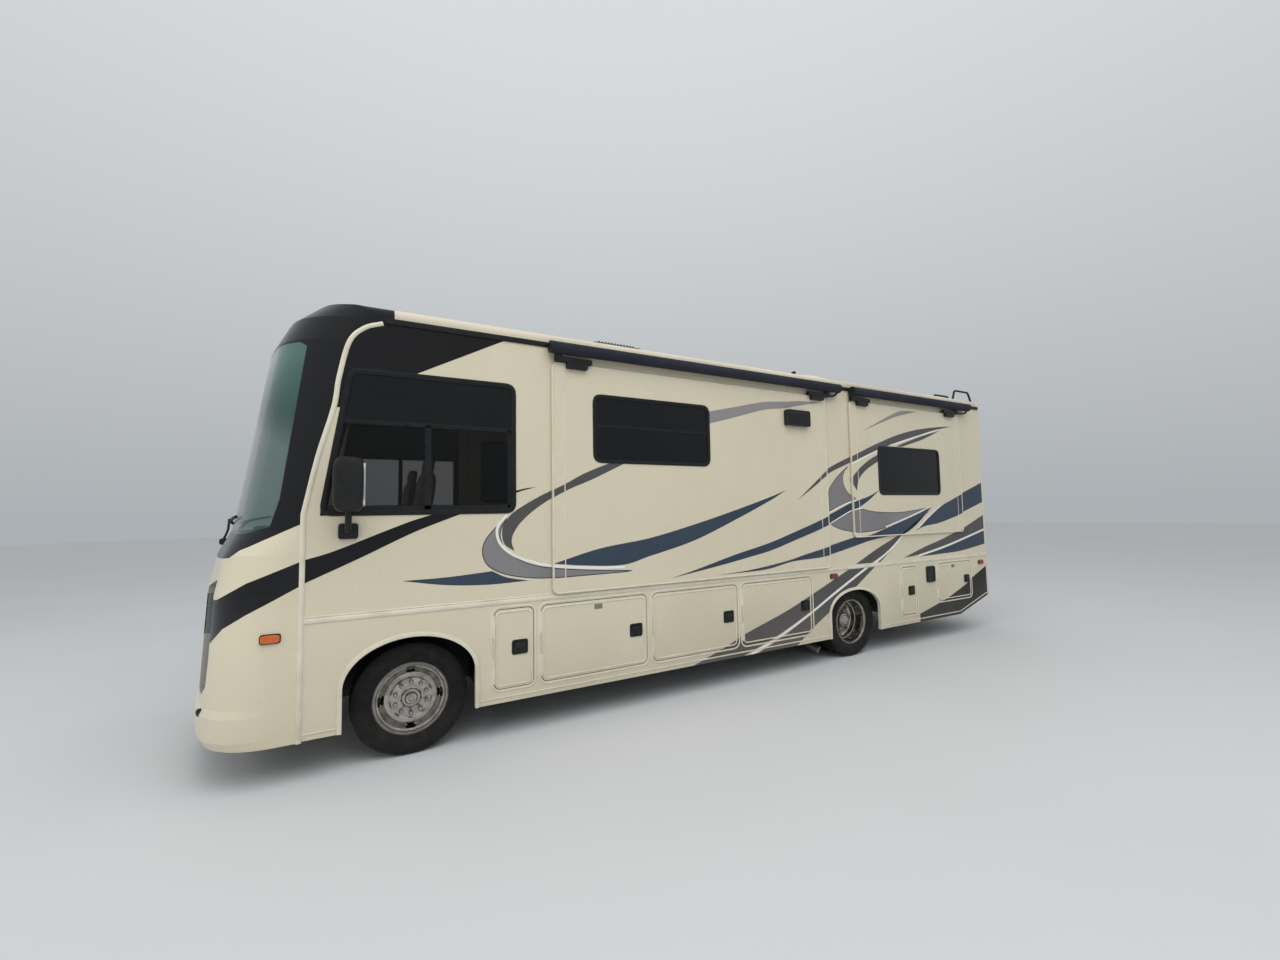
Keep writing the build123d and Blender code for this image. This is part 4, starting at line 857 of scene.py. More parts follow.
def pinstripe(path: list, width: float) -> Stripe:
    """A thin white stripe of even width along a path."""
    line = np.asarray(path, float)
    along = unit(np.gradient(line, axis=0))
    normal = np.stack([-along[:, 1], along[:, 0]], axis=1) * width / 2
    return band("white", [tuple(p) for p in line + normal], [tuple(p) for p in line - normal])


STRIPES = [
    # The brow over the cab window
    Stripe("black", (((900, 2503), (450, 2527)), ((450, 2527), (0, 2817)), ((0, 2817), (-683, 3182)),
           ((-683, 3182), (-683, 3300)), ((-683, 3300), (900, 3300)), ((900, 3300), (900, 2503)))),
    # The front swoosh, which runs under the cab window
    band("black", [(720, 1448), (681, 1464), (500, 1519), (120, 1673), (-100, 1750), (-756, 1940),
         (-936, 1974)], [(720, 1288), (681, 1306), (340, 1464), (0, 1629), (-320, 1754), (-756, 1921),
         (-936, 1974)]),
    # The fin below the hook
    Stripe("navy", (((80, 1277), (-232, 1281), (-573, 1303)), ((-573, 1303), (-690, 1245), (-866, 1207)),
           ((-866, 1207), (-540, 1200), (-232, 1222), (80, 1277)))),
    # The front hook: its upper arm and its lower crescent
    band("charcoal", [(-1638, 2201), (-1550, 2172), (-1352, 2091), (-1178, 1999), (-936, 1882), (-738, 1761),
         (-661, 1662), (-650, 1585), (-672, 1508), (-749, 1453)], [(-1770, 2201), (-1440, 2047),
         (-1200, 1948), (-980, 1827), (-826, 1706), (-749, 1607), (-727, 1530), (-749, 1453)]),
    band("grey", [(-690, 1732), (-540, 1574), (-500, 1464), (-540, 1354), (-672, 1277), (-870, 1233),
         (-1068, 1218), (-1506, 1220), (-1818, 1222)], [(-690, 1732), (-632, 1607), (-661, 1490),
         (-760, 1394), (-892, 1332), (-1068, 1292), (-1440, 1250), (-1818, 1222)]),
    # The long swooshes of the front room
    band("navy", [(-1075, 1332), (-1500, 1438), (-2000, 1508), (-2498, 1618), (-2998, 1746), (-3499, 1886),
         (-3736, 1962)], [(-1075, 1332), (-1352, 1299), (-1726, 1281), (-2000, 1343), (-2498, 1464),
         (-2998, 1647), (-3499, 1849), (-3736, 1962)]),
    band("navy", [(-2232, 1123), (-2540, 1189), (-2998, 1300), (-3450, 1395), (-3800, 1490), (-4310, 1640),
         (-4820, 1820), (-5100, 1892), (-5310, 1970)], [(-2232, 1123), (-2804, 1204), (-3200, 1268),
         (-3500, 1321), (-3800, 1400), (-4310, 1540), (-4820, 1720), (-5100, 1844), (-5310, 1970)]),
    band("navy", [(-2760, 1112), (-3200, 1134), (-3700, 1193), (-4000, 1250), (-4310, 1304), (-4820, 1400),
         (-5100, 1424), (-5400, 1496), (-5900, 1620), (-6360, 1744)], [(-2760, 1112), (-3400, 1124),
         (-3800, 1184), (-4310, 1210), (-4820, 1296), (-5100, 1350), (-5500, 1396), (-5720, 1406),
         (-6000, 1510), (-6360, 1744)]),
    band("ash", [(-2700, 2745), (-2998, 2810), (-3450, 2910), (-3740, 2940), (-4000, 2970), (-4320, 2982)],
         [(-2700, 2622), (-2998, 2700), (-3450, 2825), (-3740, 2866), (-4000, 2920), (-4320, 2982)]),
    # The swooshes and the hook of the rear room
    band("charcoal", [(-3916, 1856), (-4200, 2060), (-4440, 2220), (-4820, 2370), (-5200, 2515),
         (-5600, 2650), (-5900, 2730), (-6200, 2790), (-6600, 2844), (-6940, 2876)], [(-3916, 1856),
         (-4200, 2020), (-4440, 2160), (-4820, 2300), (-5200, 2436), (-5520, 2536), (-5900, 2640),
         (-6200, 2715), (-6500, 2790), (-6940, 2876)]),
    band("charcoal", [(-5680, 2536), (-6200, 2690), (-6660, 2802)], [(-5800, 2536), (-6250, 2655),
         (-6660, 2802)]),
    band("ash", [(-5040, 2690), (-5400, 2850), (-5700, 2970), (-5880, 3012), (-6140, 3022)], [(-5040, 2690),
         (-5400, 2820), (-5700, 2920), (-6000, 2990), (-6140, 3022)]),
    Stripe("grey", (((-4780, 2250), (-4600, 2130), (-4460, 1990), (-4428, 1900)), ((-4428, 1900),
           (-4426, 1722)), ((-4426, 1722), (-4640, 1798), (-4870, 1860)), ((-4870, 1860), (-4730, 1970),
           (-4680, 2090), (-4710, 2190), (-4780, 2250)))),
    band("grey", [(-4450, 1570), (-4820, 1712), (-4960, 1738), (-5200, 1702), (-5600, 1686), (-5900, 1700),
         (-6160, 1725), (-6360, 1748)], [(-4450, 1570), (-4600, 1516), (-4820, 1476), (-5000, 1466),
         (-5300, 1490), (-5500, 1535), (-5900, 1640), (-6360, 1748)]),
    band("charcoal", [(-5330, 2424), (-5120, 2330), (-4940, 2220), (-4830, 2120), (-4822, 2060),
         (-4896, 1964)], [(-5330, 2338), (-5120, 2240), (-5000, 2160), (-4930, 2080), (-4896, 1964)]),
    # The diagonal that climbs from the skirt over the rear wheel
    band("charcoal", [(-2480, 272), (-2892, 400), (-3134, 490), (-3700, 655), (-4110, 800), (-4730, 1036),
         (-5200, 1230), (-5700, 1410), (-6000, 1550), (-6400, 1745)], [(-3100, 272), (-3560, 410),
         (-4070, 610), (-4500, 810), (-5040, 1040), (-5520, 1240), (-5800, 1430), (-6060, 1560),
         (-6400, 1745)]),
    band("charcoal", [(-3290, 272), (-3640, 396), (-4070, 578), (-4500, 776), (-5080, 1030), (-5210, 1080),
         (-5540, 1228)], [(-3850, 272), (-4110, 436), (-4500, 640), (-4800, 800), (-5190, 1030),
         (-5290, 1078), (-5540, 1228)]),
    # The bands that run out at the rear corner
    band("navy", [(-6020, 1450), (-6300, 1610), (-6600, 1762), (-6800, 1830), (-7080, 1920), (-7700, 2108)],
         [(-6020, 1450), (-6200, 1500), (-6500, 1532), (-6800, 1590), (-7080, 1656), (-7700, 1824)]),
    band("charcoal", [(-5770, 1110), (-6200, 1222), (-6600, 1310), (-6880, 1382), (-7120, 1442),
         (-7700, 1640)], [(-5770, 1110), (-6080, 1132), (-6600, 1214), (-7000, 1290), (-7700, 1436)]),
    band("navy", [(-6100, 1108), (-6600, 1184), (-7000, 1260), (-7700, 1408)], [(-6100, 1108), (-6600, 1118),
         (-7080, 1138), (-7700, 1212)]),
    band("black", [(-6050, 372), (-6520, 478), (-6700, 524), (-7140, 672), (-7280, 742), (-7700, 904)],
         [(-6050, 200), (-7700, 200)]),
]
PINSTRIPES = [
    ([(-690, 1748), (-612, 1640), (-634, 1520), (-736, 1425), (-876, 1364), (-1068, 1314), (-1440, 1274),
      (-1740, 1262)], 22),
    ([(-3195, 272), (-3600, 403), (-4070, 594), (-4500, 793), (-5040, 1030), (-5210, 1084), (-5530, 1240),
      (-5800, 1418)], 25),
    ([(-6085, 1120), (-6600, 1199), (-7000, 1275), (-7700, 1422)], 24),
    ([(-5400, 1512), (-5900, 1636), (-6350, 1756)], 16),
    ([(-4430, 1705), (-4640, 1782), (-4870, 1848)], 16),
    ([(-4450, 1584), (-4820, 1726), (-4980, 1752)], 14),
    ([(-6060, 1480), (-6300, 1626), (-6560, 1770)], 20),
    ([(-4830, 2284), (-5000, 2352), (-5330, 2470)], 20),
    ([(-5560, 2540), (-6200, 2704), (-6600, 2802)], 18),
]


@dataclass
class Livery:
    """The film stripes, cut to the flat panels that they lie on."""

    lift_mm: float = 0.5
    rim_drop_mm: float = 0.2
    pinstripe_rise_mm: float = 0.5
    thickness_mm: float = 0.3

    def panels(self, side: Side) -> list[tuple[str, str, float]]:
        """The panels of a side: CAD node, body and distance from the centreline."""
        found = [(f"{part}_{side.tag}", "coach", DATUM.half) for part in ("wall", "skirt")]
        found += [(node, body, DATUM.half) for body, nodes in frame["record"]["behaviour"]["bodies"].items()
                  for node in nodes if node.startswith(f"storage_door_{side.tag}")]
        if side is Side.LEFT:
            found += [(f"slide_room_{end}", f"{end}_slide", DATUM.room_face) for end in ("front", "rear")]
        else:
            found.append(("entry_door", "entry", DATUM.half))
        return found

    def cut(self, outline: Points, border: tuple[Points, Points]) -> tuple[Points, list] | None:
        """The part of an outline that lies on a panel.

        Both are triangulated together, with every edge kept, and the triangles whose
        middle is inside the outline and on the panel are the film.

        Args:
            outline: the film's outline.
            border: starts and ends of the panel's edges.

        Returns:
            Points and triangles, or None where they don't meet.
        """
        starts, ends = border
        if (ends.max(axis=0) < outline.min(axis=0)).any() or (ends.min(axis=0) > outline.max(axis=0)).any():
            return None
        count = len(outline)
        points = [Vector(p) for p in np.concatenate([outline, starts, ends]).tolist()]
        loop = [(i, (i + 1) % count) for i in range(count)]
        rims = [(count + i, count + len(starts) + i) for i in range(len(starts))]
        made, _, triangles, *_ = delaunay_2d_cdt(points, loop + rims, [], 0, 1e-6, False)
        if not triangles:
            return None
        flat = np.array([tuple(p) for p in made])
        corners = np.array([t for t in triangles if len(t) == 3])
        middle = flat[corners].mean(axis=1)
        keep = inside(middle, outline, np.roll(outline, -1, axis=0)) & inside(middle, starts, ends)
        if not keep.any():
            return None
        used, renumbered = np.unique(corners[keep], return_inverse=True)
        return flat[used], renumbered.reshape(-1, 3).tolist()

    def build(self) -> None:
        """Cuts every stripe to every panel of both sides, and joins what has one body and colour."""
        layers: dict[tuple[str, str, str], list[Shell]] = {}
        stripes = [(Rim("edge", stripe.edges), self.lift_mm - self.rim_drop_mm)
                   for stripe in STRIPES if stripe.colour == "grey"]
        stripes += [(stripe, self.lift_mm) for stripe in STRIPES]
        stripes += [(pinstripe(path, width), self.lift_mm + self.pinstripe_rise_mm)
                    for path, width in PINSTRIPES]
        for side in Side:
            for node, body, distance in self.panels(side):
                border = face_edges(node, side, distance)
                films = [(self.cut(stripe.outline(), border), stripe.colour, lift)
                         for stripe, lift in stripes if len(border[0])]
                for film, colour, lift in films:
                    if film is None:
                        continue
                    flat, triangles = film
                    points = space_points(flat[:, 0], side.value * (distance + lift * MM), flat[:, 1])
                    turned = triangles if side is Side.RIGHT else [t[::-1] for t in triangles]
                    layers.setdefault((body, side.tag, colour), []).append(Shell(points, turned))
        for (body, tag, colour), shells in sorted(layers.items()):
            Shell.join(shells).piece(f"film_{body}_{tag}_{colour}", FILMS[colour], body, raw=True,
                                     wall_mm=self.thickness_mm)


@dataclass
class Tyre:
    """A radial tyre with its tread, turned about its axle.

    A pitch of the tread is so many steps round the tyre, one of them a cut, which moves
    on by a step for each `1 / slant_steps` of the half tread.
    """

    radius: float = 0.405
    bead: float = 0.250
    half_width: float = 0.1225
    tread_half: float = 0.098
    tread_drop: float = 0.008
    crown_drop: float = 0.006
    groove_depth: float = 0.011
    groove_half: float = 0.005
    pitches: int = 52
    pitch_steps: int = 6
    slant_steps: int = 2
    rib_cut: float = 0.003
    rib_from: float = 0.078
    lug_cut: float = 0.006
    lug_from: float = 0.020

    def profile(self, grooves: tuple[float, ...]) -> tuple[Points, Points, Points]:
        """The section from bead to bead.

        Args:
            grooves: distances of the grooves' middles from the tyre's middle.

        Returns:
            Radii, distances from the middle plane and how deep each point is cut.
        """
        wall = [(self.bead, 0.090), (self.bead + 0.010, 0.101), (self.bead + 0.022, 0.108), (0.300, 0.1195),
                (0.325, self.half_width), (0.332, self.half_width + 0.001), (0.338, self.half_width),
                (0.360, 0.119), (0.380, 0.110), (0.392, 0.103)]
        wide = self.groove_half
        stations = sorted({0.0, self.tread_half, *[groove + d for groove in grooves
                                                   for d in (-wide, -wide * 0.7, wide * 0.7, wide)]})
        crown = [(self.radius - self.crown_drop * (s / self.tread_half) ** 2, s) for s in stations if s >= 0]
        right = wall + crown[::-1]
        section = np.array(right + [(r, -y) for r, y in right[::-1] if y != 0])
        radius, across = section.T
        depth = np.zeros(len(section))
        for groove in grooves:
            cut = (radius > self.radius - self.tread_drop) & (np.abs(np.abs(across) - groove) < wide * 0.8)
            depth[cut] = self.groove_depth
        return radius, across, depth

    def shell(self, centre: ArrayLike, grooves: tuple[float, ...], driven: bool) -> Shell:
        """The tyre as a surface of angle and section.

        The radius is the section's, less the grooves, and less a shallow cut in each
        pitch across the shoulder ribs, or across all ribs of a driven tyre.

        Args:
            centre: the tyre's middle.
            grooves: distances of the grooves from the middle.
            driven: cuts every rib, as on a driven axle.

        Returns:
            The shell.
        """
        radius, across, depth = self.profile(grooves)
        steps = self.pitches * self.pitch_steps
        angle = circle(steps)[:, None]
        slant = np.round(np.abs(across) / self.tread_half * self.slant_steps).astype(int)
        cut_here = (np.arange(steps)[:, None] + slant) % self.pitch_steps == self.pitch_steps - 1
        ribs = (radius > self.radius - self.tread_drop) & (depth == 0)
        ribs &= np.abs(across) > (self.lug_from if driven else self.rib_from)
        ring = radius - depth - np.where(cut_here & ribs, self.lug_cut if driven else self.rib_cut, 0)
        return Shell.grid(space_points(centre[0] + ring * np.cos(angle), centre[1] + across,
                                       centre[2] + ring * np.sin(angle)), wrap_rows=True, wrap_columns=True)


@dataclass(frozen=True)
class WheelKind:
    """What the wheels of one axle have.

    The tyres lie at `offsets` inwards of the wheel's middle. The liner is turned from
    (radius, distance outwards) in millimetres, and its hand holes have an inner and an
    outer radius in metres and half an angle in degrees.
    """

    end: str
    plural: str
    axle: float
    grooves: tuple[float, ...]
    driven: bool
    offsets: tuple[float, ...]
    hole: Triple
    holes: int
    cover_level: float
    liner: tuple


WHEEL_KINDS = (
    WheelKind("front", "", DATUM.front_axle, (0.022, 0.064), False, (0,), (0.201, 0.224, 10), 4, 0.073, (
        (252, 99), (250, 103), (244, 104), (238, 96), (234, 88), (229, 84), (222, 82), (214, 72), (207, 60),
        (200, 56), (194, 60), (189, 72), (180, 83), (168, 88), (156, 87), (147, 81), (141, 75), (134, 73),
        (126, 74), (88, 74), (80, 76), (72, 78), (66, 84), (62, 92), (55, 95), (46, 96), (42, 103), (36, 110),
        (28, 112), (22, 110), (18, 98), (0, 97))),
    WheelKind("rear", "s", DATUM.rear_axle, (0.0, 0.05), True, (0, 0.280), (0.150, 0.192, 9), 8, -0.077, (
        (252, 99), (250, 103), (244, 104), (238, 98), (233, 86), (229, 60), (226, 30), (224, -10), (221, -18),
        (214, -22), (211, -50), (204, -68), (190, -77), (160, -82), (140, -80), (128, -76), (92, -76),
        (86, -70), (85, -30), (83, -6), (78, 6), (70, 12), (62, 14), (58, 20), (50, 27), (36, 32), (18, 34),
        (0, 34))),
)


@dataclass
class WheelSet:
    """Tyres, wheel liners and lug covers on all four corners."""

    track_half: float = 1.100
    bolt_circle: float = 0.1125
    lugs: int = 10
    liner_steps: int = 180
    liner_wall_mm: float = -1.2
    cover: tuple = ((0.017, 0), (0.017, 0.012), (0.014, 0.026), (0.008, 0.032), (0, 0.034))
    tyre: Tyre = field(default_factory=Tyre)

    def liner(self, centre: Points, side: Side, kind: WheelKind) -> Shell:
        """A turned liner with its hand holes left open."""
        shell = revolve(np.array(kind.liner) * MM, centre, side.value, self.liner_steps)
        near, far, half_angle = kind.hole
        faces = np.array(shell.faces)
        middle = shell.points[faces].mean(axis=1) - centre
        reach = np.hypot(middle[:, 0], middle[:, 2])
        angle = np.degrees(np.arctan2(middle[:, 2], middle[:, 0])) - 90
        step = 360 / kind.holes
        off = np.abs((angle + step / 2) % step - step / 2)
        out = (reach - (near + far) / 2) / ((far - near) / 2)
        round_ends = half_angle * np.sqrt(np.clip(1 - out ** 2, 0, 1))
        hole = (reach > near) & (reach < far) & (off < np.maximum(round_ends, half_angle * 0.5))
        return Shell(shell.points, faces[~hole].tolist())

    def lug_covers(self, centre: Points, side: Side, level: float) -> Shell:
        """Bullet covers on the bolt circle, at a level outwards of the wheel's middle."""
        angle = circle(self.lugs) + math.pi / self.lugs
        places = centre + space_points(self.bolt_circle * np.cos(angle), side.value * level,
                                       self.bolt_circle * np.sin(angle))
        return Shell.join([revolve(self.cover, place, side.value, 12) for place in places])

    def build(self) -> None:
        """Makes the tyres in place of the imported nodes, the liners and the covers."""
        for side in Side:
            wheels = [(kind, f"{kind.end}_{side.tag}", f"{kind.end}_{side.tag}_wheel{kind.plural}", np.array(
                [kind.axle, side.value * self.track_half, DATUM.axle_height])) for kind in WHEEL_KINDS]
            for kind, corner, body, centre in wheels:
                node = f"tyre{kind.plural}_{corner}"
                tyres = [self.tyre.shell(centre - (0, side.value * offset, 0), kind.grooves, kind.driven)
                         for offset in kind.offsets]
                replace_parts(Shell.join(tyres).piece(f"tread_{node}", TYRE_RUBBER, body), node)
            for kind, corner, body, centre in wheels:
                self.liner(centre, side, kind).piece(f"liner_{corner}", STAINLESS, body,
                                                     wall_mm=self.liner_wall_mm)
                self.lug_covers(centre, side, kind.cover_level).piece(f"lugs_{corner}", STAINLESS, body)


@dataclass
class Glazing:
    """Frames and glazing bars of every window."""

    proud: float = 0.007
    corner: float = 0.085
    width: float = 0.030
    cab_width: float = 0.040
    bar_half: float = 0.004
    bar_mm: float = 13
    bar_rise_mm: float = 27
    cab_corners: tuple = ((-760, 1761), (604, 1761), (440, 2817), (-760, 2817))
    # Rear, front, low and high edges of the mid bar, the post, the sliding pane's stile and the bottom bar
    cab_bars: tuple = ((-760, 500, 2418, 2452), (-115, -71, 1770, 2430), (-728, -698, 1770, 2430),
                       (-760, 590, 1790, 1826))
    # Rear, front, low and high edges of the windows of the rooms and of the right side
    room_windows: tuple = (("front", -2718, -1447, 2194, 2802), ("rear", -6596, -5310, 1914, 2524))
    right_windows: tuple = ((-2950, -1950, 2194, 2802), (-4200, -3500, 2350, 2802),
                            (-6576, -5526, 1914, 2524))

    def surround(self, outline: Points, side: Side, face: float, width: float) -> Shell:
        """A flat black frame with rounded edges, laid along a window's outline."""
        section = [(-0.004, -0.006), (-0.004, self.proud * 0.7), (0, self.proud), (width * 0.5, self.proud),
                   (width * 0.9, self.proud * 0.4), (width, -0.006)]
        return sweep(outline, section, side, face, True)

    def bar(self, edges: tuple, side: Side, face: float) -> Shell:
        """A glazing bar: a strip with rounded corners on the glass."""
        return plate(DATUM.panel(*edges, 0.004, 3), side, face - self.bar_half, face + self.bar_half)

    def build(self) -> None:
        """Frames on both sides and on the slide-out rooms."""
        outline = rounded(DATUM.side_points(self.cab_corners), self.corner, 8)
        for side in Side:
            frames = [self.surround(outline, side, DATUM.half, self.cab_width)]
            frames += [self.bar(edges, side, DATUM.half - PANE_DEPTH) for edges in self.cab_bars]
            Shell.join(frames).piece(f"cab_window_frame_{side.tag}", FRAME_BLACK)
        face = DATUM.room_face
        for name, rear, front, low, high in self.room_windows:
            outline = DATUM.panel(rear, front, low, high, self.corner, 8)
            frames = [self.surround(outline, Side.LEFT, face, self.width)]
            if name == "front":
                middle = (low + high) / 2 + self.bar_rise_mm
                edges = (rear, front, middle - self.bar_mm, middle + self.bar_mm)
                frames.append(self.bar(edges, Side.LEFT, face - PANE_DEPTH))
            Shell.join(frames).piece(f"room_window_frame_{name}", FRAME_BLACK, f"{name}_slide")
        Shell.join([self.surround(DATUM.panel(*edges, self.corner, 8), Side.RIGHT, DATUM.half, self.width)
                    for edges in self.right_windows]).piece("wall_window_frames_right", FRAME_BLACK)


@dataclass
class Trim:
    """Mouldings: seam strips, belt, gutter, arch lips, folds and the lining of the front arches.

    An arch is given by its half width, the height where its bow starts and its crown.
    """

    seam_ahead: float = 692
    seam_bow: tuple = ((692, 1772), (615, 2168), (527, 2520), (498, 2740), (439, 3004), (345, 3119),
                       (225, 3172))
    rear_end: float = -7655
    front_arch: Triple = (0.446, 0.560, 0.870)
    rear_arch: Triple = (0.430, 0.540, 0.790)
    lining_arch: Triple = (0.510, 0.560, 0.876)
    lining_wall_arch: Triple = (0.520, 0.560, 0.886)
    lining_bottom: float = 0.330
    lining: Pair = (0.640, 1.236)
    lining_notch: float = 0.260
    skirt_bottom: float = 0.272
    lip: tuple = ((-0.030, -0.002), (-0.028, 0.008), (-0.008, 0.013), (0.001, 0.011), (0.001, -0.028),
                  (-0.004, -0.028))
    gutter: tuple = ((-0.020, 0), (-0.020, 0.012), (0.006, 0.016), (0.022, 0.010), (0.022, 0))

    def seam(self, side: Side) -> Shell:
        """The cream strip that covers the joint of cap and wall."""
        straight = np.linspace((self.seam_ahead, 262), (self.seam_ahead, 1740), 8)
        path = DATUM.side_points(np.vstack([straight, smooth_curve(self.seam_bow, 8)]))
        return sweep(path, moulding(0.034, 0.009), side)

    def belt(self, side: Side) -> Shell:
        """The double moulding along the floor line, broken by the entry door on its side."""
        spans = [(677, self.rear_end)] if side is Side.LEFT else [(677, -848), (-1552, self.rear_end)]
        return Shell.join([sweep(DATUM.line((front, height), (rear, height), 24), section, side)
                           for front, rear in spans for height, section in (
                               (1052, moulding(0.040, 0.008)), (1078, moulding(0.012, 0.005)))])

    def arch(self, axle: float, shape: Triple, bottom: float) -> Points:
        """The edge of a wheel arch: two uprights and half an ellipse.

        Args:
            axle: the axle's place along the body.
            shape: its half width, the height of the bow's start and of the crown.
            bottom: the uprights' lower end.

        Returns:
            Points from front to rear.
        """
        half_width, shoulder, crown = shape
        angle = np.linspace(0, math.pi, 48)
        bow = np.stack([axle + half_width * np.cos(angle), shoulder + (crown - shoulder) * np.sin(angle)],
                       axis=1)
        legs = np.linspace(bottom, shoulder, 6)[:-1]
        return np.vstack([np.stack([np.full(5, axle + half_width), legs], axis=1), bow,
                          np.stack([np.full(5, axle - half_width), legs[::-1]], axis=1)])

    def wheel_well(self, side: Side) -> Shell:
        """The black lining over a front wheel: a band round the arch and an inner wall, open at the axle."""
        inner, outer = self.lining
        path = self.arch(DATUM.front_axle, self.lining_arch, self.lining_bottom)
        section = [(-0.012, inner), (-0.008, inner), (-0.008, outer), (-0.012, outer)]
        start, shoulder = self.lining_bottom, self.lining_arch[1]
        notch = rectangle(-self.lining_notch, self.lining_notch, start, shoulder)[[0, 3, 2, 1]]
        outline = np.vstack([self.arch(DATUM.front_axle, self.lining_wall_arch, start),
                             notch + (DATUM.front_axle, 0)])
        return Shell.join([sweep(path, section, side, 0), plate(outline, side, inner - 0.004, inner)])

    def skirt_roll(self, side: Side) -> Shell:
        """The fold line above the skirt's rolled bottom edge: front, rear and both heights of each span."""
        middle = [(-480, -4360, 311, 311)]
        if side is Side.RIGHT:
            middle = [(-480, -830, 311, 311), (-1570, -4360, 311, 311)]
        spans = [(676, 480, 311, 311), *middle, (-5292, -6960, 311, 311), (-6960, -7640, 311, 506)]
        return Shell.join([sweep(DATUM.line((front, low), (rear, high), 3), moulding(0.014, 0.004), side)
                           for front, rear, low, high in spans])

    def room_lines(self, name: str, front: float, rear: float, low: float, high: float) -> None:
        """The bead round a room's outer wall and the joints of its corner mouldings."""
        lines = [sweep(DATUM.panel(rear + 8, front - 8, low + 8, high - 8, 0.052, 8),
                       moulding(0.014, 0.003), Side.LEFT, DATUM.room_face, True)]
        lines += [sweep(DATUM.line((x, low + 16), (x, high - 16), 3), moulding(0.010, 0.0022), Side.LEFT,
                        DATUM.room_face) for x in (front - 112, rear + 112)]
        Shell.join(lines).piece(f"room_lines_{name}", TRIM_VINYL, f"{name}_slide")

    def build(self) -> None:
        """Makes the mouldings of the rooms and of both sides."""
        self.room_lines("front", -1066, -4400, 1075, 3050)
        self.room_lines("rear", -4820, -7110, 1400, 3050)
        for side in Side:
            self.seam(side).piece(f"seam_strip_{side.tag}", TRIM_VINYL)
            self.belt(side).piece(f"belt_moulding_{side.tag}", TRIM_VINYL)
            self.skirt_roll(side).piece(f"skirt_fold_{side.tag}", TRIM_VINYL)
            self.wheel_well(side).piece(f"wheel_well_front_{side.tag}", ABS_BLACK)
            arches = ((DATUM.front_axle, self.front_arch), (DATUM.rear_axle, self.rear_arch))
            Shell.join([sweep(self.arch(*arch, self.skirt_bottom), self.lip, side) for arch in arches]).piece(
                f"arch_lips_{side.tag}", TRIM_VINYL)
            gutter = sweep(DATUM.line((215, 3194), (self.rear_end, 3194), 30), self.gutter, side)
            gutter.piece(f"gutter_{side.tag}", ABS_BLACK)


@dataclass
class Hatches:
    """Beads, latches and labels on the storage doors."""

    corner: float = 0.062
    door_inset: float = 0.019
    doorway_inset: float = -0.020
    # The door, then the latch's rear, front, low and high edges
    latches: tuple = (
        ("left_1", -859, -727, 628, 745), ("left_2", -1924, -1794, 628, 745),
        ("left_3", -2984, -2855, 628, 745), ("left_4", -4056, -3926, 628, 745),
        ("left_5", -5960, -5830, 628, 745), ("left_6", -7216, -7086, 690, 800),
        ("right_1", -2984, -2855, 628, 745), ("right_2", -4056, -3926, 628, 745),
        ("right_3", -6655, -6525, 628, 745))
    labels: tuple = (("left_2", -1526, -1449, 914, 958), ("left_6", -6870, -6796, 920, 958))

    def bead(self, node: str, side: Side, inset: float, section: Points) -> Shell:
        """A raised bead along a door's rounded outline, inset from its edge."""
        return sweep(node_outline(node, inset, self.corner - inset), section, side, DATUM.half, True)

    def latch(self, edges: tuple, side: Side) -> Shell:
        """A paddle latch: a rimmed dish with a paddle and a lock barrel."""
        face = DATUM.half
        outline = DATUM.panel(*edges, 0.022)
        (x0, z0), _, (x1, z1), _ = DATUM.side_points(rectangle(*edges))
        rim = sweep(outline, [(0.002, -0.004), (0.002, 0.006), (0.010, 0.008), (0.016, 0.003),
                              (0.016, -0.004)], side, face, True)
        dish = plate(outline, side, face - 0.002, face + 0.0015)
        paddle = soft_box(((x0 + x1) / 2, side.value * (face + 0.004), z0 + (z1 - z0) * 0.62),
                          ((x1 - x0) * 0.66, 0.012, (z1 - z0) * 0.42), 6, 10, 24)
        barrel = revolve([(0.011, -0.002), (0.011, 0.006), (0.009, 0.008), (0, 0.008)],
                         ((x0 + x1) / 2, side.value * face, z0 + (z1 - z0) * 0.24), side.value, 20)
        return Shell.join([rim, dish, paddle, barrel])

    def build(self) -> None:
        """Dresses every storage door."""
        doorways = {side: [] for side in Side}
        for tag, *edges in self.latches:
            side = Side.LEFT if tag.startswith("left") else Side.RIGHT
            node, body = f"storage_door_{tag}", f"door_{tag}"
            self.bead(node, side, self.door_inset, moulding(0.013, 0.005)).piece(
                f"door_bead_{tag}", TRIM_VINYL, body)
            self.latch(edges, side).piece(f"latch_{tag}", ABS_BLACK, body)
            doorways[side].append(self.bead(node, side, self.doorway_inset, moulding(0.016, 0.004)))
        for side, shells in doorways.items():
            Shell.join(shells).piece(f"doorway_beads_{side.tag}", TRIM_VINYL)
        for tag, *edges in self.labels:
            plate(DATUM.panel(*edges, 0.006, 4), Side.LEFT, DATUM.half - 0.001, DATUM.half + 0.0015).piece(
                f"blank_label_{tag}", LABEL_GREY, f"door_{tag}", bevel_mm=0.4)


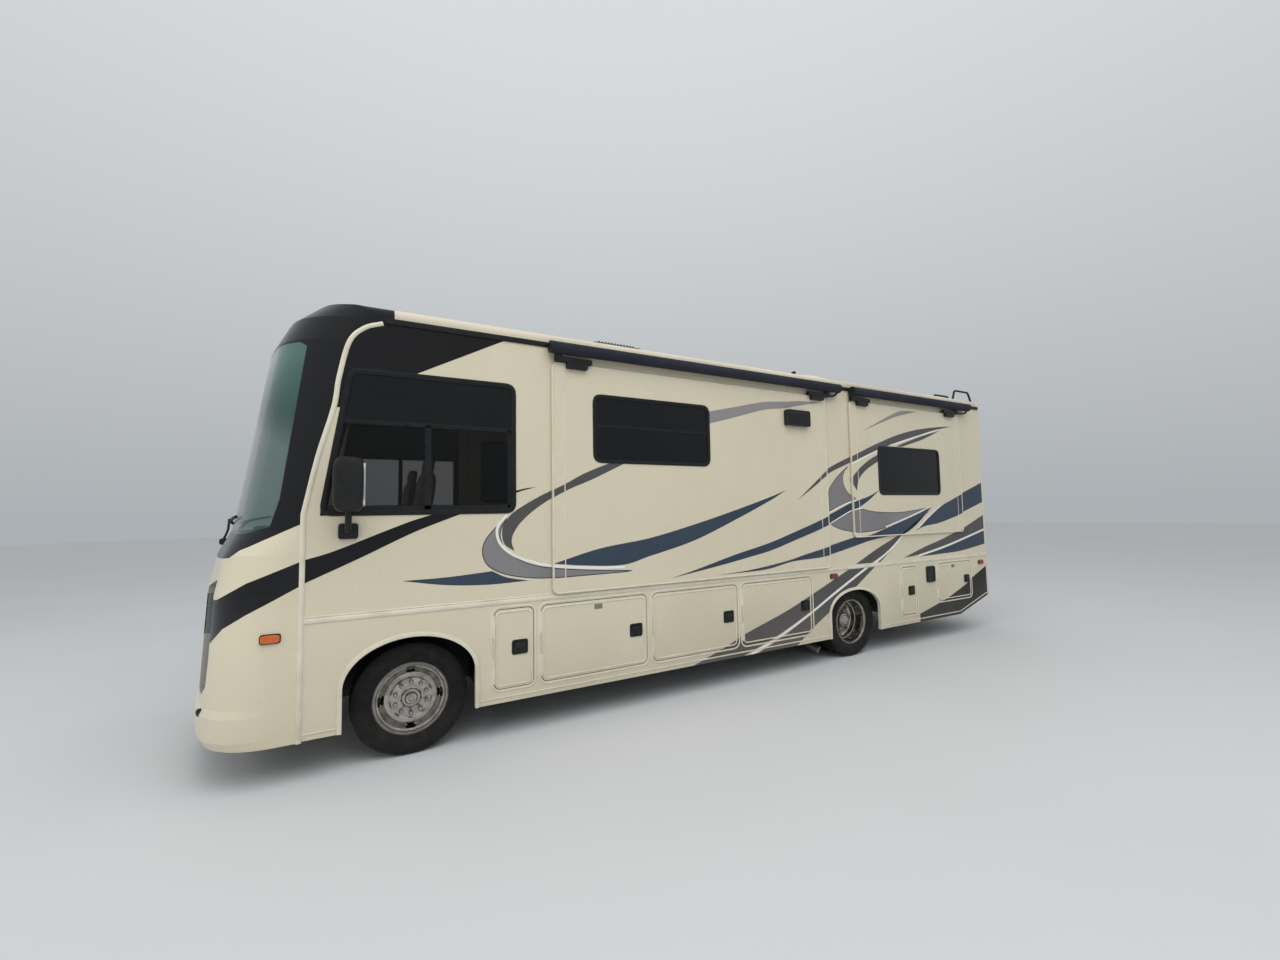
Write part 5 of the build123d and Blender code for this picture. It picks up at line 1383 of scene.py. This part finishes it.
@dataclass
class Fittings:
    """Small fittings on the walls: side markers, the power inlet and the range vent."""

    # Rear, front, low and high edges of the markers
    amber: tuple = ((806, 912, 936, 989),)
    red: tuple = ((-4520, -4406, 950, 996), (-7580, -7460, 926, 974))
    slats: tuple = (2700, 2724, 2748, 2772, 2796)

    def marker(self, edges: tuple, side: Side) -> Shell:
        """A side marker: a rounded lens on the wall."""
        rear, front, low, high = edges
        centre = (DATUM.x((rear + front) / 2), side.value * (DATUM.half + 0.006), (low + high) / 2 * MM)
        return soft_box(centre, ((front - rear) * MM, 0.030, (high - low) * MM), 5, 12, 32)

    def marker_base(self, edges: tuple, side: Side) -> Shell:
        """The dark rim under a marker."""
        rear, front, low, high = edges
        outline = DATUM.panel(rear - 6, front + 6, low - 6, high + 6, 0.020, 5)
        return plate(outline, side, DATUM.half - 0.002, DATUM.half + 0.004)

    def build(self) -> None:
        """Makes the wall fittings."""
        for side in Side:
            for name, edges, finish, make in (
                    ("marker_amber", self.amber, LENS_AMBER, self.marker),
                    ("markers_red", self.red, LENS_RED, self.marker),
                    ("marker_bases", self.amber + self.red, ABS_BLACK, self.marker_base)):
                Shell.join([make(size, side) for size in edges]).piece(f"{name}_{side.tag}", finish)
        left, face, room = Side.LEFT, DATUM.half, DATUM.room_face
        flap = sweep(DATUM.panel(-6400, -6220, 760, 970, 0.030), [
            (0.0, -0.002), (0.0, 0.016), (0.010, 0.022), (0.020, 0.010), (0.020, -0.002)], left, face, True)
        lid = plate(DATUM.panel(-6384, -6236, 776, 954, 0.020, 5), left, face - 0.001, face + 0.012)
        Shell.join([flap, lid]).piece("inlet_cover", ABS_BLACK, bevel_mm=1.5)
        rim = sweep(DATUM.panel(-4100, -3744, 2676, 2850, 0.024), [
            (-0.002, 0.001), (-0.002, 0.049), (0.012, 0.049), (0.012, 0.046)], left, room, True)
        lid = plate(DATUM.panel(-4092, -3752, 2684, 2842, 0.018), left, room + 0.044, room + 0.047)
        Shell.join([rim, lid]).piece("range_vent", ABS_GLOSS, "front_slide")
        Shell.join([plate(DATUM.panel(-4070, -3774, z, z + 12, 0.004, 3), left, room + 0.046, room + 0.052)
                    for z in self.slats]).piece("range_vent_slats", ABS_BLACK, "front_slide")


# Plan sections of the front cap. Columns: height, front ahead of the axle, corner radius
CAP_SECTIONS = np.array([
    (265, 1392, 430), (320, 1423, 430), (470, 1423, 430), (520, 1402, 430), (885, 1386, 430),
    (1240, 1369, 430), (1503, 1318, 440), (1669, 1238, 450),
    (3010, 1030, 490), (3191, 945, 500), (3320, 790, 500), (3400, 560, 500),
])
CAP_FRONT_RADIUS = 3.2


def cap_surface(y: ArrayLike, z: ArrayLike) -> Points:
    """Points on the front cap.

    The plan section at a height is a wide arc across the front that turns into a corner
    arc where both touch, so X follows from Y by the circle that Y falls on.

    Args:
        y: distances from the centreline.
        z: heights.

    Returns:
        Points, with X added.
    """
    y, z = np.broadcast_arrays(np.asarray(y, float), np.asarray(z, float))
    front = DATUM.front_axle + np.interp(z / MM, CAP_SECTIONS[:, 0], CAP_SECTIONS[:, 1]) * MM
    small = np.interp(z / MM, CAP_SECTIONS[:, 0], CAP_SECTIONS[:, 2]) * MM
    small_y = DATUM.half - small
    large_x = front - CAP_FRONT_RADIUS
    small_x = large_x + np.sqrt((CAP_FRONT_RADIUS - small) ** 2 - small_y ** 2)
    touch = small_y * CAP_FRONT_RADIUS / (CAP_FRONT_RADIUS - small)
    wide = large_x + np.sqrt(CAP_FRONT_RADIUS ** 2 - y ** 2)
    corner = small_x + np.sqrt(np.clip(small ** 2 - (np.abs(y) - small_y) ** 2, 0, None))
    return space_points(np.where(np.abs(y) <= touch, wide, corner), y, z)


@dataclass
class Nose:
    """Lamps, wipers, roof markers and bumper plugs of the front cap."""

    # The lamps of a side: distance from the centreline, height and radius
    lamps: tuple = ((0.730, 1.165, 0.078), (0.905, 1.170, 0.070), (0.760, 0.950, 0.066))
    lamp_depth: float = 0.050
    marker_height: float = 3.262
    marker_spacing: float = 0.16
    plug_place: Pair = (0.985, 0.481)
    plug_turn: float = 38

    def lamp(self, y: float, z: float, radius: float) -> tuple[Shell, Shell, Shell]:
        """A round lamp behind the lens: a paraboloid bowl, its rim and its projector."""
        x = cap_surface(y, z)[0] - self.lamp_depth
        angle = circle(48)
        depth = np.linspace(0.02, 1, 12)[:, None]
        reach = radius * np.sqrt(depth)
        bowl = space_points(x - 0.070 + 0.05 * depth, y + reach * np.cos(angle), z + reach * np.sin(angle))
        ring = np.linspace(0, 2 * math.pi, 49)
        path = space_points(x - 0.014, y + radius * np.cos(ring), z + radius * np.sin(ring))
        projector = soft_box((x - 0.040, y, z), (0.050, radius * 0.62, radius * 0.62), 2.2, 12, 24)
        return Shell.grid(bowl, wrap_columns=True), tube(path, 0.006, 8), projector

    def wiper(self, side: Side) -> tuple[Shell, Shell]:
        """A wiper: its arm from a pivot under the glass, and its blade along the glass."""
        lift = np.array([0.030, 0, 0.010])
        along = np.linspace(0, 1, 20)
        blade = cap_surface(side.value * (0.14 + 0.74 * along), 1.705 + 0.055 * along) + lift * 0.6
        arm_y, arm_z = np.array([(0.16, 1.560), (0.17, 1.600), (0.26, 1.655), (0.38, 1.700), (0.50, 1.735)]).T
        arm = smooth_curve(cap_surface(side.value * arm_y, arm_z) + lift, 6)
        pivot = soft_box(arm[0] - (0.012, 0, 0), (0.060, 0.055, 0.055), 3, 10, 20)
        return Shell.join([tube(arm, 0.0085, 8), pivot]), tube(blade, 0.011, 8)

    def plug(self, side: Side) -> Shell:
        """A round plug in the bumper, turned to face out from its corner."""
        turn = math.radians(self.plug_turn)
        flat = revolve([(0.026, -0.004), (0.026, 0.004), (0.020, 0.008), (0, 0.008)], (0, 0, 0), 1, 24)
        x, y, z = flat.points.T
        turned = space_points(x * math.cos(turn) + y * math.sin(turn),
                              side.value * (y * math.cos(turn) - x * math.sin(turn)), z)
        out, height = self.plug_place
        return Shell(turned + cap_surface(side.value * out, height), flat.faces)

    def build(self) -> None:
        """Makes the pieces of the nose."""
        bowls, rims, projectors = zip(*(self.lamp(side.value * y, z, radius)
                                        for side in Side for y, z, radius in self.lamps))
        arms, blades = zip(*(self.wiper(side) for side in Side))
        markers = [soft_box(cap_surface(y, self.marker_height) + (0.004, 0, 0.004), (0.050, 0.110, 0.034), 4,
                            12, 28) for y in (-self.marker_spacing, 0, self.marker_spacing)]
        for name, shells, finish, wall_mm in (
                ("headlamp_bowls", bowls, REFLECTOR, 1.5), ("headlamp_rims", rims, REFLECTOR, 0),
                ("headlamp_projectors", projectors, DARK_GLASS, 0), ("wiper_arms", arms, ABS_BLACK, 0),
                ("wiper_blades", blades, SEAL_RUBBER, 0), ("roof_markers_front", markers, LENS_AMBER, 0),
                ("bumper_plugs", [self.plug(side) for side in Side], ABS_BLACK, 0)):
            Shell.join(shells).piece(name, finish, wall_mm=wall_mm)


@dataclass
class Mirrors:
    """Door mirrors with a base on the wall, a bent arm and a moulded head."""

    ahead: float = 425
    out: float = 0.190
    height: float = 1.970
    # Half the glass's width and height, and the depths of its faces behind the head's middle
    glass_half: Pair = (0.085, 0.150)
    glass_depths: Pair = (-0.084, -0.0965)

    def build(self) -> None:
        """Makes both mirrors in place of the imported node."""
        x, face = DATUM.x(self.ahead), DATUM.half
        out = face + self.out
        base = soft_box((x, face + 0.012, 1.651), (0.125, 0.040, 0.110), 7, 12, 32)
        arm = tube(smooth_curve([(x, face + 0.010, 1.660), (x, face + 0.100, 1.662), (x, face + 0.170, 1.690),
                                 (x, out, 1.760), (x, out, 1.830)], 8), 0.021, 16)
        head = soft_box((x, out, self.height), (0.192, 0.215, 0.372), 4.5, 24, 48)
        left = Shell.join([base, arm, head])
        housings = Shell.join([left, left.mirrored()]).piece("mirror_housings", ABS_BLACK)
        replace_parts(housings, "mirrors")
        wide, tall = self.glass_half
        outline = rounded(rectangle(-wide, wide, -tall, tall), 0.045, 8)
        pane = Shell.grid(space_points(x + np.array(self.glass_depths)[:, None], out + outline[:, 0],
                                       self.height + outline[:, 1]), wrap_columns=True, caps=True)
        Shell.join([pane, pane.mirrored()]).piece("mirror_glass", MIRROR_GLASS)


@dataclass
class Cab:
    """The seats, seen through the glass."""

    seat_ahead: float = 90
    seat_y: float = 0.680
    fill: float = 0.7
    shrink: float = 0.94
    voxel_mm: float = 11
    cap_mm: float = 10
    frames: int = 20
    pressure: float = 4
    # Part, ahead of the seat's place, height, full sizes and degrees that it leans back
    cushions: tuple = (("base", 0.01, 1.465, (0.50, 0.52, 0.140), 0),
                       ("back", -0.215, 1.845, (0.115, 0.49, 0.620), -8),
                       ("head", -0.255, 2.170, (0.085, 0.27, 0.150), -8))

    def cushion(self, name: str, centre: ArrayLike, size: ArrayLike, tilt: float) -> None:
        """A padded cushion, filled by a short cloth simulation with pressure.

        Args:
            name: the piece's name.
            centre: its middle.
            size: its full sizes.
            tilt: how far it leans back, in degrees.
        """
        shell = soft_box((0, 0, 0), np.array(size) * self.shrink, 5, 24, 48)
        angle = math.radians(tilt)
        turn = np.array([(math.cos(angle), 0, math.sin(angle)), (0, 1, 0),
                         (-math.sin(angle), 0, math.cos(angle))])
        shell.points = shell.points @ turn.T + np.asarray(centre)
        piece = shell.piece(name, SEAT_LEATHER)
        self.even_out(piece)
        self.inflate(piece)
        fine = piece.modifiers.new("subdivision", "SUBSURF")
        fine.levels = fine.render_levels = 1

    def even_out(self, piece: Piece) -> None:
        """Gives a cushion an even mesh of voxels for the cloth."""
        voxels = piece.modifiers.new("voxels", "REMESH")
        voxels.mode = "VOXEL"
        voxels.voxel_size = self.voxel_mm * MM
        voxels.use_smooth_shade = True
        even = bpy.data.meshes.new_from_object(piece.evaluated_get(bpy.context.evaluated_depsgraph_get()))
        piece.modifiers.remove(voxels)
        piece.data = even
        PAINT.dress(piece, SEAT_LEATHER)

    def inflate(self, piece: Piece) -> None:
        """Swells a cushion with cloth pressure and caps how far a point moves."""
        scene = bpy.context.scene
        cloth = piece.modifiers.new("cloth", "CLOTH")
        cloth.settings.use_pressure = True
        cloth.settings.uniform_pressure_force = self.pressure
        cloth.settings.effector_weights.gravity = 0
        cloth.settings.quality = 4
        cloth.point_cache.frame_start, cloth.point_cache.frame_end = 1, self.frames
        rest, moved = np.zeros((2, len(piece.data.vertices) * 3))
        piece.data.vertices.foreach_get("co", rest)
        for step in range(1, self.frames + 1):
            scene.frame_set(step)
        shaped = piece.evaluated_get(bpy.context.evaluated_depsgraph_get())
        shaped.data.vertices.foreach_get("co", moved)
        piece.modifiers.remove(cloth)
        step = (moved - rest).reshape(-1, 3)
        length = np.linalg.norm(step, axis=1, keepdims=True)
        step *= np.minimum(1, self.cap_mm * MM / np.maximum(length, 1e-9))
        piece.data.vertices.foreach_set("co", (rest.reshape(-1, 3) + step).ravel())
        piece.data.update()
        scene.frame_set(1)

    def build(self) -> None:
        """Makes the seats of both sides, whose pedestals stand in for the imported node."""
        x = DATUM.x(self.seat_ahead)
        stands = []
        for side in Side:
            y = side.value * self.seat_y
            for part, ahead, height, size, tilt in self.cushions:
                self.cushion(f"seat_{part}_{side.tag}", (x + ahead, y, height), size, tilt)
            stands.append(soft_box((x, y, 1.250), (0.30, 0.36, 0.296), 8, 12, 32))
        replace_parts(Shell.join(stands).piece("seat_pedestals", ABS_BLACK), "cab_seats")


@dataclass
class RoofGear:
    """Coolers, vent covers and their fittings on the roof."""

    base: float = 3.330
    width: float = 0.690
    # Side views of the coolers
    front: tuple = ((-1766, 3332), (-1800, 3580), (-1945, 3692), (-2525, 3692), (-2655, 3605), (-2705, 3332))
    rear: tuple = ((-4965, 3332), (-4980, 3585), (-5062, 3666), (-5215, 3687), (-5458, 3701), (-5878, 3663),
                   (-5995, 3595), (-6025, 3332))
    # Places along the body and heights of the vents
    vents: tuple = ((-3500, 3470), (-4700, 3612), (-6256, 3612))
    knobs: tuple = ((-4930, 3.640), (-6030, 3.600))

    def shroud(self, profile: ArrayLike, width: float, middle: float = 0, power: float = 0.42) -> Shell:
        """A moulded cover with rounded sides.

        Along the length the height follows the profile. Across it, the section is half a
        superellipse: half the width times the cosine raised to a power, and the height
        times the sine raised to the same power.

        Args:
            profile: points ahead of the front axle and heights, in millimetres.
            width: full width.
            middle: distance of its middle from the centreline.
            power: the power, smaller for a squarer section.

        Returns:
            The shell.
        """
        line = DATUM.side_points(profile)
        length = np.concatenate([[0], np.cumsum(np.linalg.norm(np.diff(line, axis=0), axis=1))])
        steps = np.linspace(0, length[-1], 60)
        x, z = (np.interp(steps, length, values)[:, None] for values in line.T)
        angle = np.linspace(0, math.pi, 41)
        across = np.sign(np.cos(angle)) * np.abs(np.cos(angle)) ** power
        up = np.abs(np.sin(angle)) ** power
        return Shell.grid(space_points(x, middle + width / 2 * across, self.base + (z - self.base) * up),
                          caps=True)

    def vent(self, middle: float, height: float) -> Shell:
        """A vent's cover, off the centreline."""
        rise = [(205, 3332), (195, height - 40), (150, height)]
        profile = [(middle + x, z) for x, z in rise] + [(middle - x, z) for x, z in rise[::-1]]
        return self.shroud(profile, 0.410, 0.200, 0.3)

    def build(self) -> None:
        """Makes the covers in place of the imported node."""
        cooler = self.shroud(self.front, self.width).piece("cooler_front", ABS_BLACK, subdivide=1)
        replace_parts(cooler, "roof_units")
        Shell.join([soft_box((DATUM.x(x), 0, 3.692), (0.020, 0.46, 0.014), 5, 8, 24)
                    for x in np.linspace(-2020, -2460, 12)]).piece("cooler_front_louvres", ABS_GLOSS)
        self.shroud(self.rear, self.width).piece("cooler_rear", TRIM_VINYL, subdivide=1)
        Shell.join([self.vent(*place) for place in self.vents]).piece("vent_covers", TRIM_VINYL)
        Shell.join([revolve([(0.026, -0.02), (0.026, 0.02), (0.018, 0.03), (0, 0.03)],
                            (DATUM.x(x), 0.330, z), 1, 24) for x, z in self.knobs]).piece(
                                "cooler_knobs", ABS_BLACK)


@dataclass
class Awnings:
    """Rollers and brackets over the slide-out rooms, and the seams of the patio awning's case."""

    radius: float = 0.0525
    swell: float = 0.0015
    height: float = 3.163
    out: float = 0.065
    case_depth: float = 0.110
    # Room, roller's front and rear ends, front bracket, rear bracket
    toppers: tuple = (("front", -1040, -4600, -1290, -4246), ("rear", -4830, -7300, -5026, -6855))
    # Foot on the room, arm along it and upright to the roller: edges from the bracket's middle, and reach
    bracket_parts: tuple = ((-96, 96, 3000, 3048, 0.042), (-140, 200, 3048, 3092, 0.036),
                            (140, 200, 3060, 3200, 0.040))
    cap: tuple = ((0.0530, 0.014), (0.0530, -0.002), (0.048, -0.006), (0.030, -0.006), (0.024, -0.001),
                  (0, -0.001))

    def roller(self, front: float, rear: float) -> Shell:
        """The rolled cloth: a tube whose radius grows a little over a turn, as the cloth's end does."""
        angle = circle(48)
        turns = self.radius - self.swell + self.swell * (angle / (2 * math.pi))
        ends = np.array([[DATUM.x(front - 12)], [DATUM.x(rear + 12)]])
        return Shell.grid(space_points(ends, DATUM.half + self.out + turns * np.cos(angle),
                                       self.height + turns * np.sin(angle)), wrap_columns=True, caps=True)

    def end_cap(self, x: float, way: int) -> Shell:
        """A dished end cap of the roller, facing along the vehicle."""
        cap = revolve(self.cap, (0, 0, 0), way, 40)
        points = cap.points[:, [1, 0, 2]] + (DATUM.x(x), DATUM.half + self.out, self.height)
        return Shell(points, cap.faces)

    def bracket(self, middle: float, way: int) -> list[Shell]:
        """A bracket's parts, or their mirror image where the way is -1."""
        face = DATUM.room_face
        return [plate(DATUM.panel(*sorted((middle + way * x0, middle + way * x1)), z0, z1, 0.008, 4),
                      Side.LEFT, face, face + reach) for x0, x1, z0, z1, reach in self.bracket_parts]

    def arm(self, rear: float, bracket: float) -> Shell:
        """The bent arm from the rear bracket to the roller's end."""
        y = DATUM.room_face + 0.024
        bends = ((bracket - 100, 3.072), (bracket - 230, 3.066), (rear + 60, 3.082), (rear + 14, 3.118),
                 (rear + 6, 3.160))
        return tube(smooth_curve([(DATUM.x(x), y, z) for x, z in bends], 6), 0.013, 10)

    def build(self) -> None:
        """Makes the slide-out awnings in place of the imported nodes, and the patio awning's seams."""
        for name, front, rear, bracket_front, bracket_rear in self.toppers:
            roller = self.roller(front, rear).piece(f"awning_roller_{name}", AWNING_CLOTH, f"{name}_slide")
            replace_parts(roller, f"slide_awning_{name}")
            Shell.join([*self.bracket(bracket_front, 1), *self.bracket(bracket_rear, -1),
                        self.end_cap(front, -1), self.end_cap(rear, 1), self.arm(rear, bracket_rear)]).piece(
                            f"awning_brackets_{name}", ABS_BLACK, f"{name}_slide", bevel_mm=2)
        Shell.join([sweep(DATUM.line((-575, z), (-5585, z), 12), moulding(width, 0.003), Side.RIGHT,
                          DATUM.half + self.case_depth)
                    for z, width in ((3020, 0.010), (3148, 0.008))]).piece("patio_awning_lines", ABS_BLACK)


@dataclass
class Entry:
    """The entry door's window frame, beads, handle and grab bar."""

    window: tuple = (-1390, -1020, 1900, 2700)
    handle: float = -1470
    bar_ahead: float = -1660
    bar_span: Pair = (1.300, 1.960)

    def build(self) -> None:
        """Makes the door's fittings."""
        side, face = Side.RIGHT, DATUM.half
        section = [(-0.004, -0.006), (-0.004, 0.005), (0.014, 0.008), (0.028, 0.004), (0.028, -0.006)]
        sweep(DATUM.panel(*self.window, 0.060, 8), section, side, face, True).piece(
            "entry_window_frame", FRAME_BLACK, "entry")
        for name, body, inset, corner, width in (("entry_door_bead", "entry", 0.016, 0.050, 0.014),
                                                 ("entry_doorway_bead", "coach", -0.022, 0.070, 0.018)):
            sweep(node_outline("entry_door", inset, corner), moulding(width, 0.004), side, face, True).piece(
                name, TRIM_VINYL, body)
        x = DATUM.x(self.handle)
        back = plate(DATUM.panel(self.handle - 50, self.handle + 50, 1560, 1730, 0.016, 5), side,
                     face - 0.001, face + 0.006)
        paddle = soft_box((x, -(face + 0.012), 1.665), (0.070, 0.026, 0.060), 5, 12, 28)
        lock = revolve([(0.012, 0), (0.012, 0.008), (0.009, 0.010), (0, 0.010)], (x, -(face + 0.005), 1.600),
                       side.value, 20)
        Shell.join([back, paddle, lock]).piece("entry_handle", ABS_BLACK, "entry", bevel_mm=1)
        x = DATUM.x(self.bar_ahead)
        low, high = self.bar_span
        bends = ((0, low), (0.045, low + 0.010), (0.060, low + 0.060),
                 (0.060, high - 0.060), (0.045, high - 0.010), (0, high))
        bar = tube(smooth_curve([(x, -(face + out), z) for out, z in bends], 6), 0.014, 12)
        pads = [revolve([(0.028, 0), (0.028, 0.008), (0.018, 0.012), (0, 0.012)], (x, -face, z),
                        side.value, 24) for z in self.bar_span]
        Shell.join([bar, *pads]).piece("grab_bar", ABS_BLACK)


def turned_back(shell: Shell, plane_x: float) -> Shell:
    """Turns a shell made for the left side to face backwards.

    What ran forward runs to the left, and what ran outwards runs back from the plane.
    """
    return Shell(space_points(plane_x - shell.points[:, 1], shell.points[:, 0], shell.points[:, 2]),
                 shell.faces)


@dataclass
class RearEnd:
    """Lamps, markers, plate holder, bumper strip and trailer socket at the back."""

    lamp_y: float = 1178
    lamp_size: Pair = (120, 390)
    lamp_z: float = 860
    face_drop: float = 0.045
    high_markers: tuple = (-1.05, -0.16, 0, 0.16, 1.05)
    low_markers: tuple = (-0.95, 0.95)

    def sheet(self, edges: tuple, corner: float, low: float, high: float, plane: float) -> Shell:
        """A plate on the rear: edges in millimetres, and levels outwards of the plane."""
        return turned_back(plate(rounded(rectangle(*edges) * MM, corner), Side.LEFT, low, high), plane)

    def bezel(self, edges: tuple, plane: float, width: float = 0.012, rise: float = 0.010) -> Shell:
        """A bezel along a rounded rectangle on the rear."""
        section = [(-0.002, -0.004), (-0.002, rise), (width * 0.5, rise * 1.2), (width, rise * 0.5),
                   (width, -0.004)]
        outline = rounded(rectangle(*edges) * MM, 0.020)
        return turned_back(sweep(outline, section, Side.LEFT, 0, True), plane)

    def build(self) -> None:
        """Makes the rear fittings."""
        face = DATUM.wall_end - self.face_drop
        bumper = face - self.face_drop
        width, height = self.lamp_size
        z0, z1 = self.lamp_z - height / 2, self.lamp_z + height / 2
        bezels, clear, amber = [], [], []
        for side in Side:
            y0, y1 = side.value * self.lamp_y - width / 2, side.value * self.lamp_y + width / 2
            bezels.append(self.bezel((y0, y1, z0, z1), face - 0.004))
            for low, high, group in ((z0 + 14, z0 + 100, clear), (z1 - 110, z1 - 16, amber)):
                group.append(self.sheet((y0 + 14, y1 - 14, low, high), 0.012, 0.010, 0.019, face))
        reds = [soft_box((face - 0.006, y, 3.190), (0.030, 0.090, 0.032), 4, 12, 28)
                for y in self.high_markers]
        reds += [soft_box((bumper - 0.003, y, 0.555), (0.014, 0.110, 0.045), 6, 10, 28)
                 for y in self.low_markers]
        lamp = soft_box((face + 0.004, 0, 0.890), (0.022, 0.070, 0.020), 5, 10, 24)
        strip = self.sheet((-1180, 1180, 575, 603), 0.008, 0, 0.006, bumper)
        socket = turned_back(revolve([(0.030, 0), (0.030, 0.030), (0.026, 0.036), (0.004, 0.036), (0, 0.030)],
                                     (0.160, 0, 0.505), 1, 28), face + 0.010)
        for name, shells, finish, bevel_mm in (
                ("tail_lamp_bezels", bezels, REFLECTOR, 0), ("reversing_lenses", clear, LENS_CLEAR, 1.5),
                ("rear_turn_lenses", amber, LENS_AMBER, 1.5), ("rear_markers", reds, LENS_RED, 0),
                ("blank_plate", [self.sheet((-152, 152, 724, 876), 0.010, -0.014, -0.011, face)], ALUMINIUM,
                 0.6),
                ("plate_frame", [self.bezel((-170, 170, 705, 895), face, 0.010, 0.004)], ABS_BLACK, 0),
                ("rear_fittings", [lamp, strip, socket], ABS_BLACK, 1)):
            Shell.join(shells).piece(name, finish, bevel_mm=bevel_mm)


@dataclass
class Studio:
    """A plain pale floor, soft light and the photograph's camera."""

    camera_place: Triple = (0.4054, 5.458, 1.750)
    yaw: float = 29.17177
    pitch: float = 3.55169
    roll: float = -0.97677
    lens: float = 14.524
    sensor: float = 36
    clip_end: float = 300
    floor_radius: float = 60

    def camera(self) -> None:
        """Puts the camera where the photograph was taken from.

        The view looks at the left side square on, turned by the yaw to the rear, raised
        by the pitch and leaned by the roll.
        """
        yaw, pitch, roll = (math.radians(v) for v in (self.yaw, self.pitch, self.roll))
        forward = Vector((-math.sin(yaw) * math.cos(pitch), -math.cos(yaw) * math.cos(pitch),
                          math.sin(pitch)))
        level = Vector((-math.cos(yaw), math.sin(yaw), 0))
        upright = level.cross(forward)
        right = math.cos(roll) * level + math.sin(roll) * upright
        up = -math.sin(roll) * level + math.cos(roll) * upright
        place = Vector((DATUM.front_axle + self.camera_place[0], *self.camera_place[1:]))
        data = bpy.data.cameras.new("photo_camera")
        data.lens = self.lens
        data.sensor_width = self.sensor
        data.clip_end = self.clip_end
        camera = bpy.data.objects.new("photo_camera", data)
        bpy.context.scene.collection.objects.link(camera)
        camera.matrix_world = Matrix([*zip(right, up, -forward, place), (0, 0, 0, 1)])
        bpy.context.scene.camera = camera

    def lamp(self, name: str, place: ArrayLike, aim: ArrayLike, size: float, power: float) -> None:
        """Adds a soft square lamp that looks at a point.

        Args:
            name: the lamp's name.
            place: where it stands.
            aim: the point that it looks at.
            size: its width.
            power: its power in watts.
        """
        data = bpy.data.lights.new(name, "AREA")
        data.size = size
        data.energy = power
        lamp = bpy.data.objects.new(name, data)
        lamp.location = place
        lamp.rotation_euler = (Vector(aim) - Vector(place)).to_track_quat("-Z", "Y").to_euler()
        lamp.visible_glossy = False
        bpy.context.scene.collection.objects.link(lamp)

    def build(self) -> None:
        """Makes the floor, the world, the lamps and the camera."""
        scene = bpy.context.scene
        scene.view_settings.view_transform = "Standard"
        angle = circle(96)
        rim = space_points(self.floor_radius * np.cos(angle), self.floor_radius * np.sin(angle), 0)
        mesh = bpy.data.meshes.new("floor_sweep")
        mesh.from_pydata(rim.tolist(), [], [list(range(len(rim)))])
        floor = bpy.data.objects.new("floor_sweep", mesh)
        scene.collection.objects.link(floor)
        PAINT.dress(floor, Finish("pale_floor", "cream", "#C9CACB", "#BFC0C1", 0.3, 2500, 0.85, 40, 0.2))
        world = bpy.data.worlds.new("overcast")
        scene.world = world
        world.use_nodes = True
        tree = world.node_tree
        place = add_node(tree, "TexCoord")
        split = add_node(tree, "SeparateXYZ", {}, {0: place.outputs["Generated"]})
        ramp = add_node(tree, "ValToRGB", {}, {0: split.outputs[2]})
        ramp.color_ramp.elements[0].color = srgb("#B9BEC2")
        ramp.color_ramp.elements[1].color = srgb("#E9ECEE")
        ramp.color_ramp.elements[1].position = 0.7
        sky = tree.nodes["Background"]
        tree.links.new(ramp.outputs[0], sky.inputs[0])
        sky.inputs[1].default_value = 0.85
        self.lamp("sky_panel", (2, 7, 12), (0, 0, 1.5), 12, 900)
        self.lamp("front_panel", (14, 4, 6), (3, 0, 1.5), 7, 350)
        self.camera()


def main() -> None:
    """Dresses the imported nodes, builds every sub-assembly and sets the studio."""
    logging.basicConfig(level=logging.INFO, format="%(name)s: %(message)s")
    PAINT.dress_frame()
    for assembly in (Livery(), WheelSet(), Glazing(), Trim(), Hatches(), Fittings(), Nose(), Mirrors(), Cab(),
                     RoofGear(), Awnings(), Entry(), RearEnd(), Studio()):
        assembly.build()
        log.info("%s built", type(assembly).__name__)


if __name__ == "__main__":
    main()
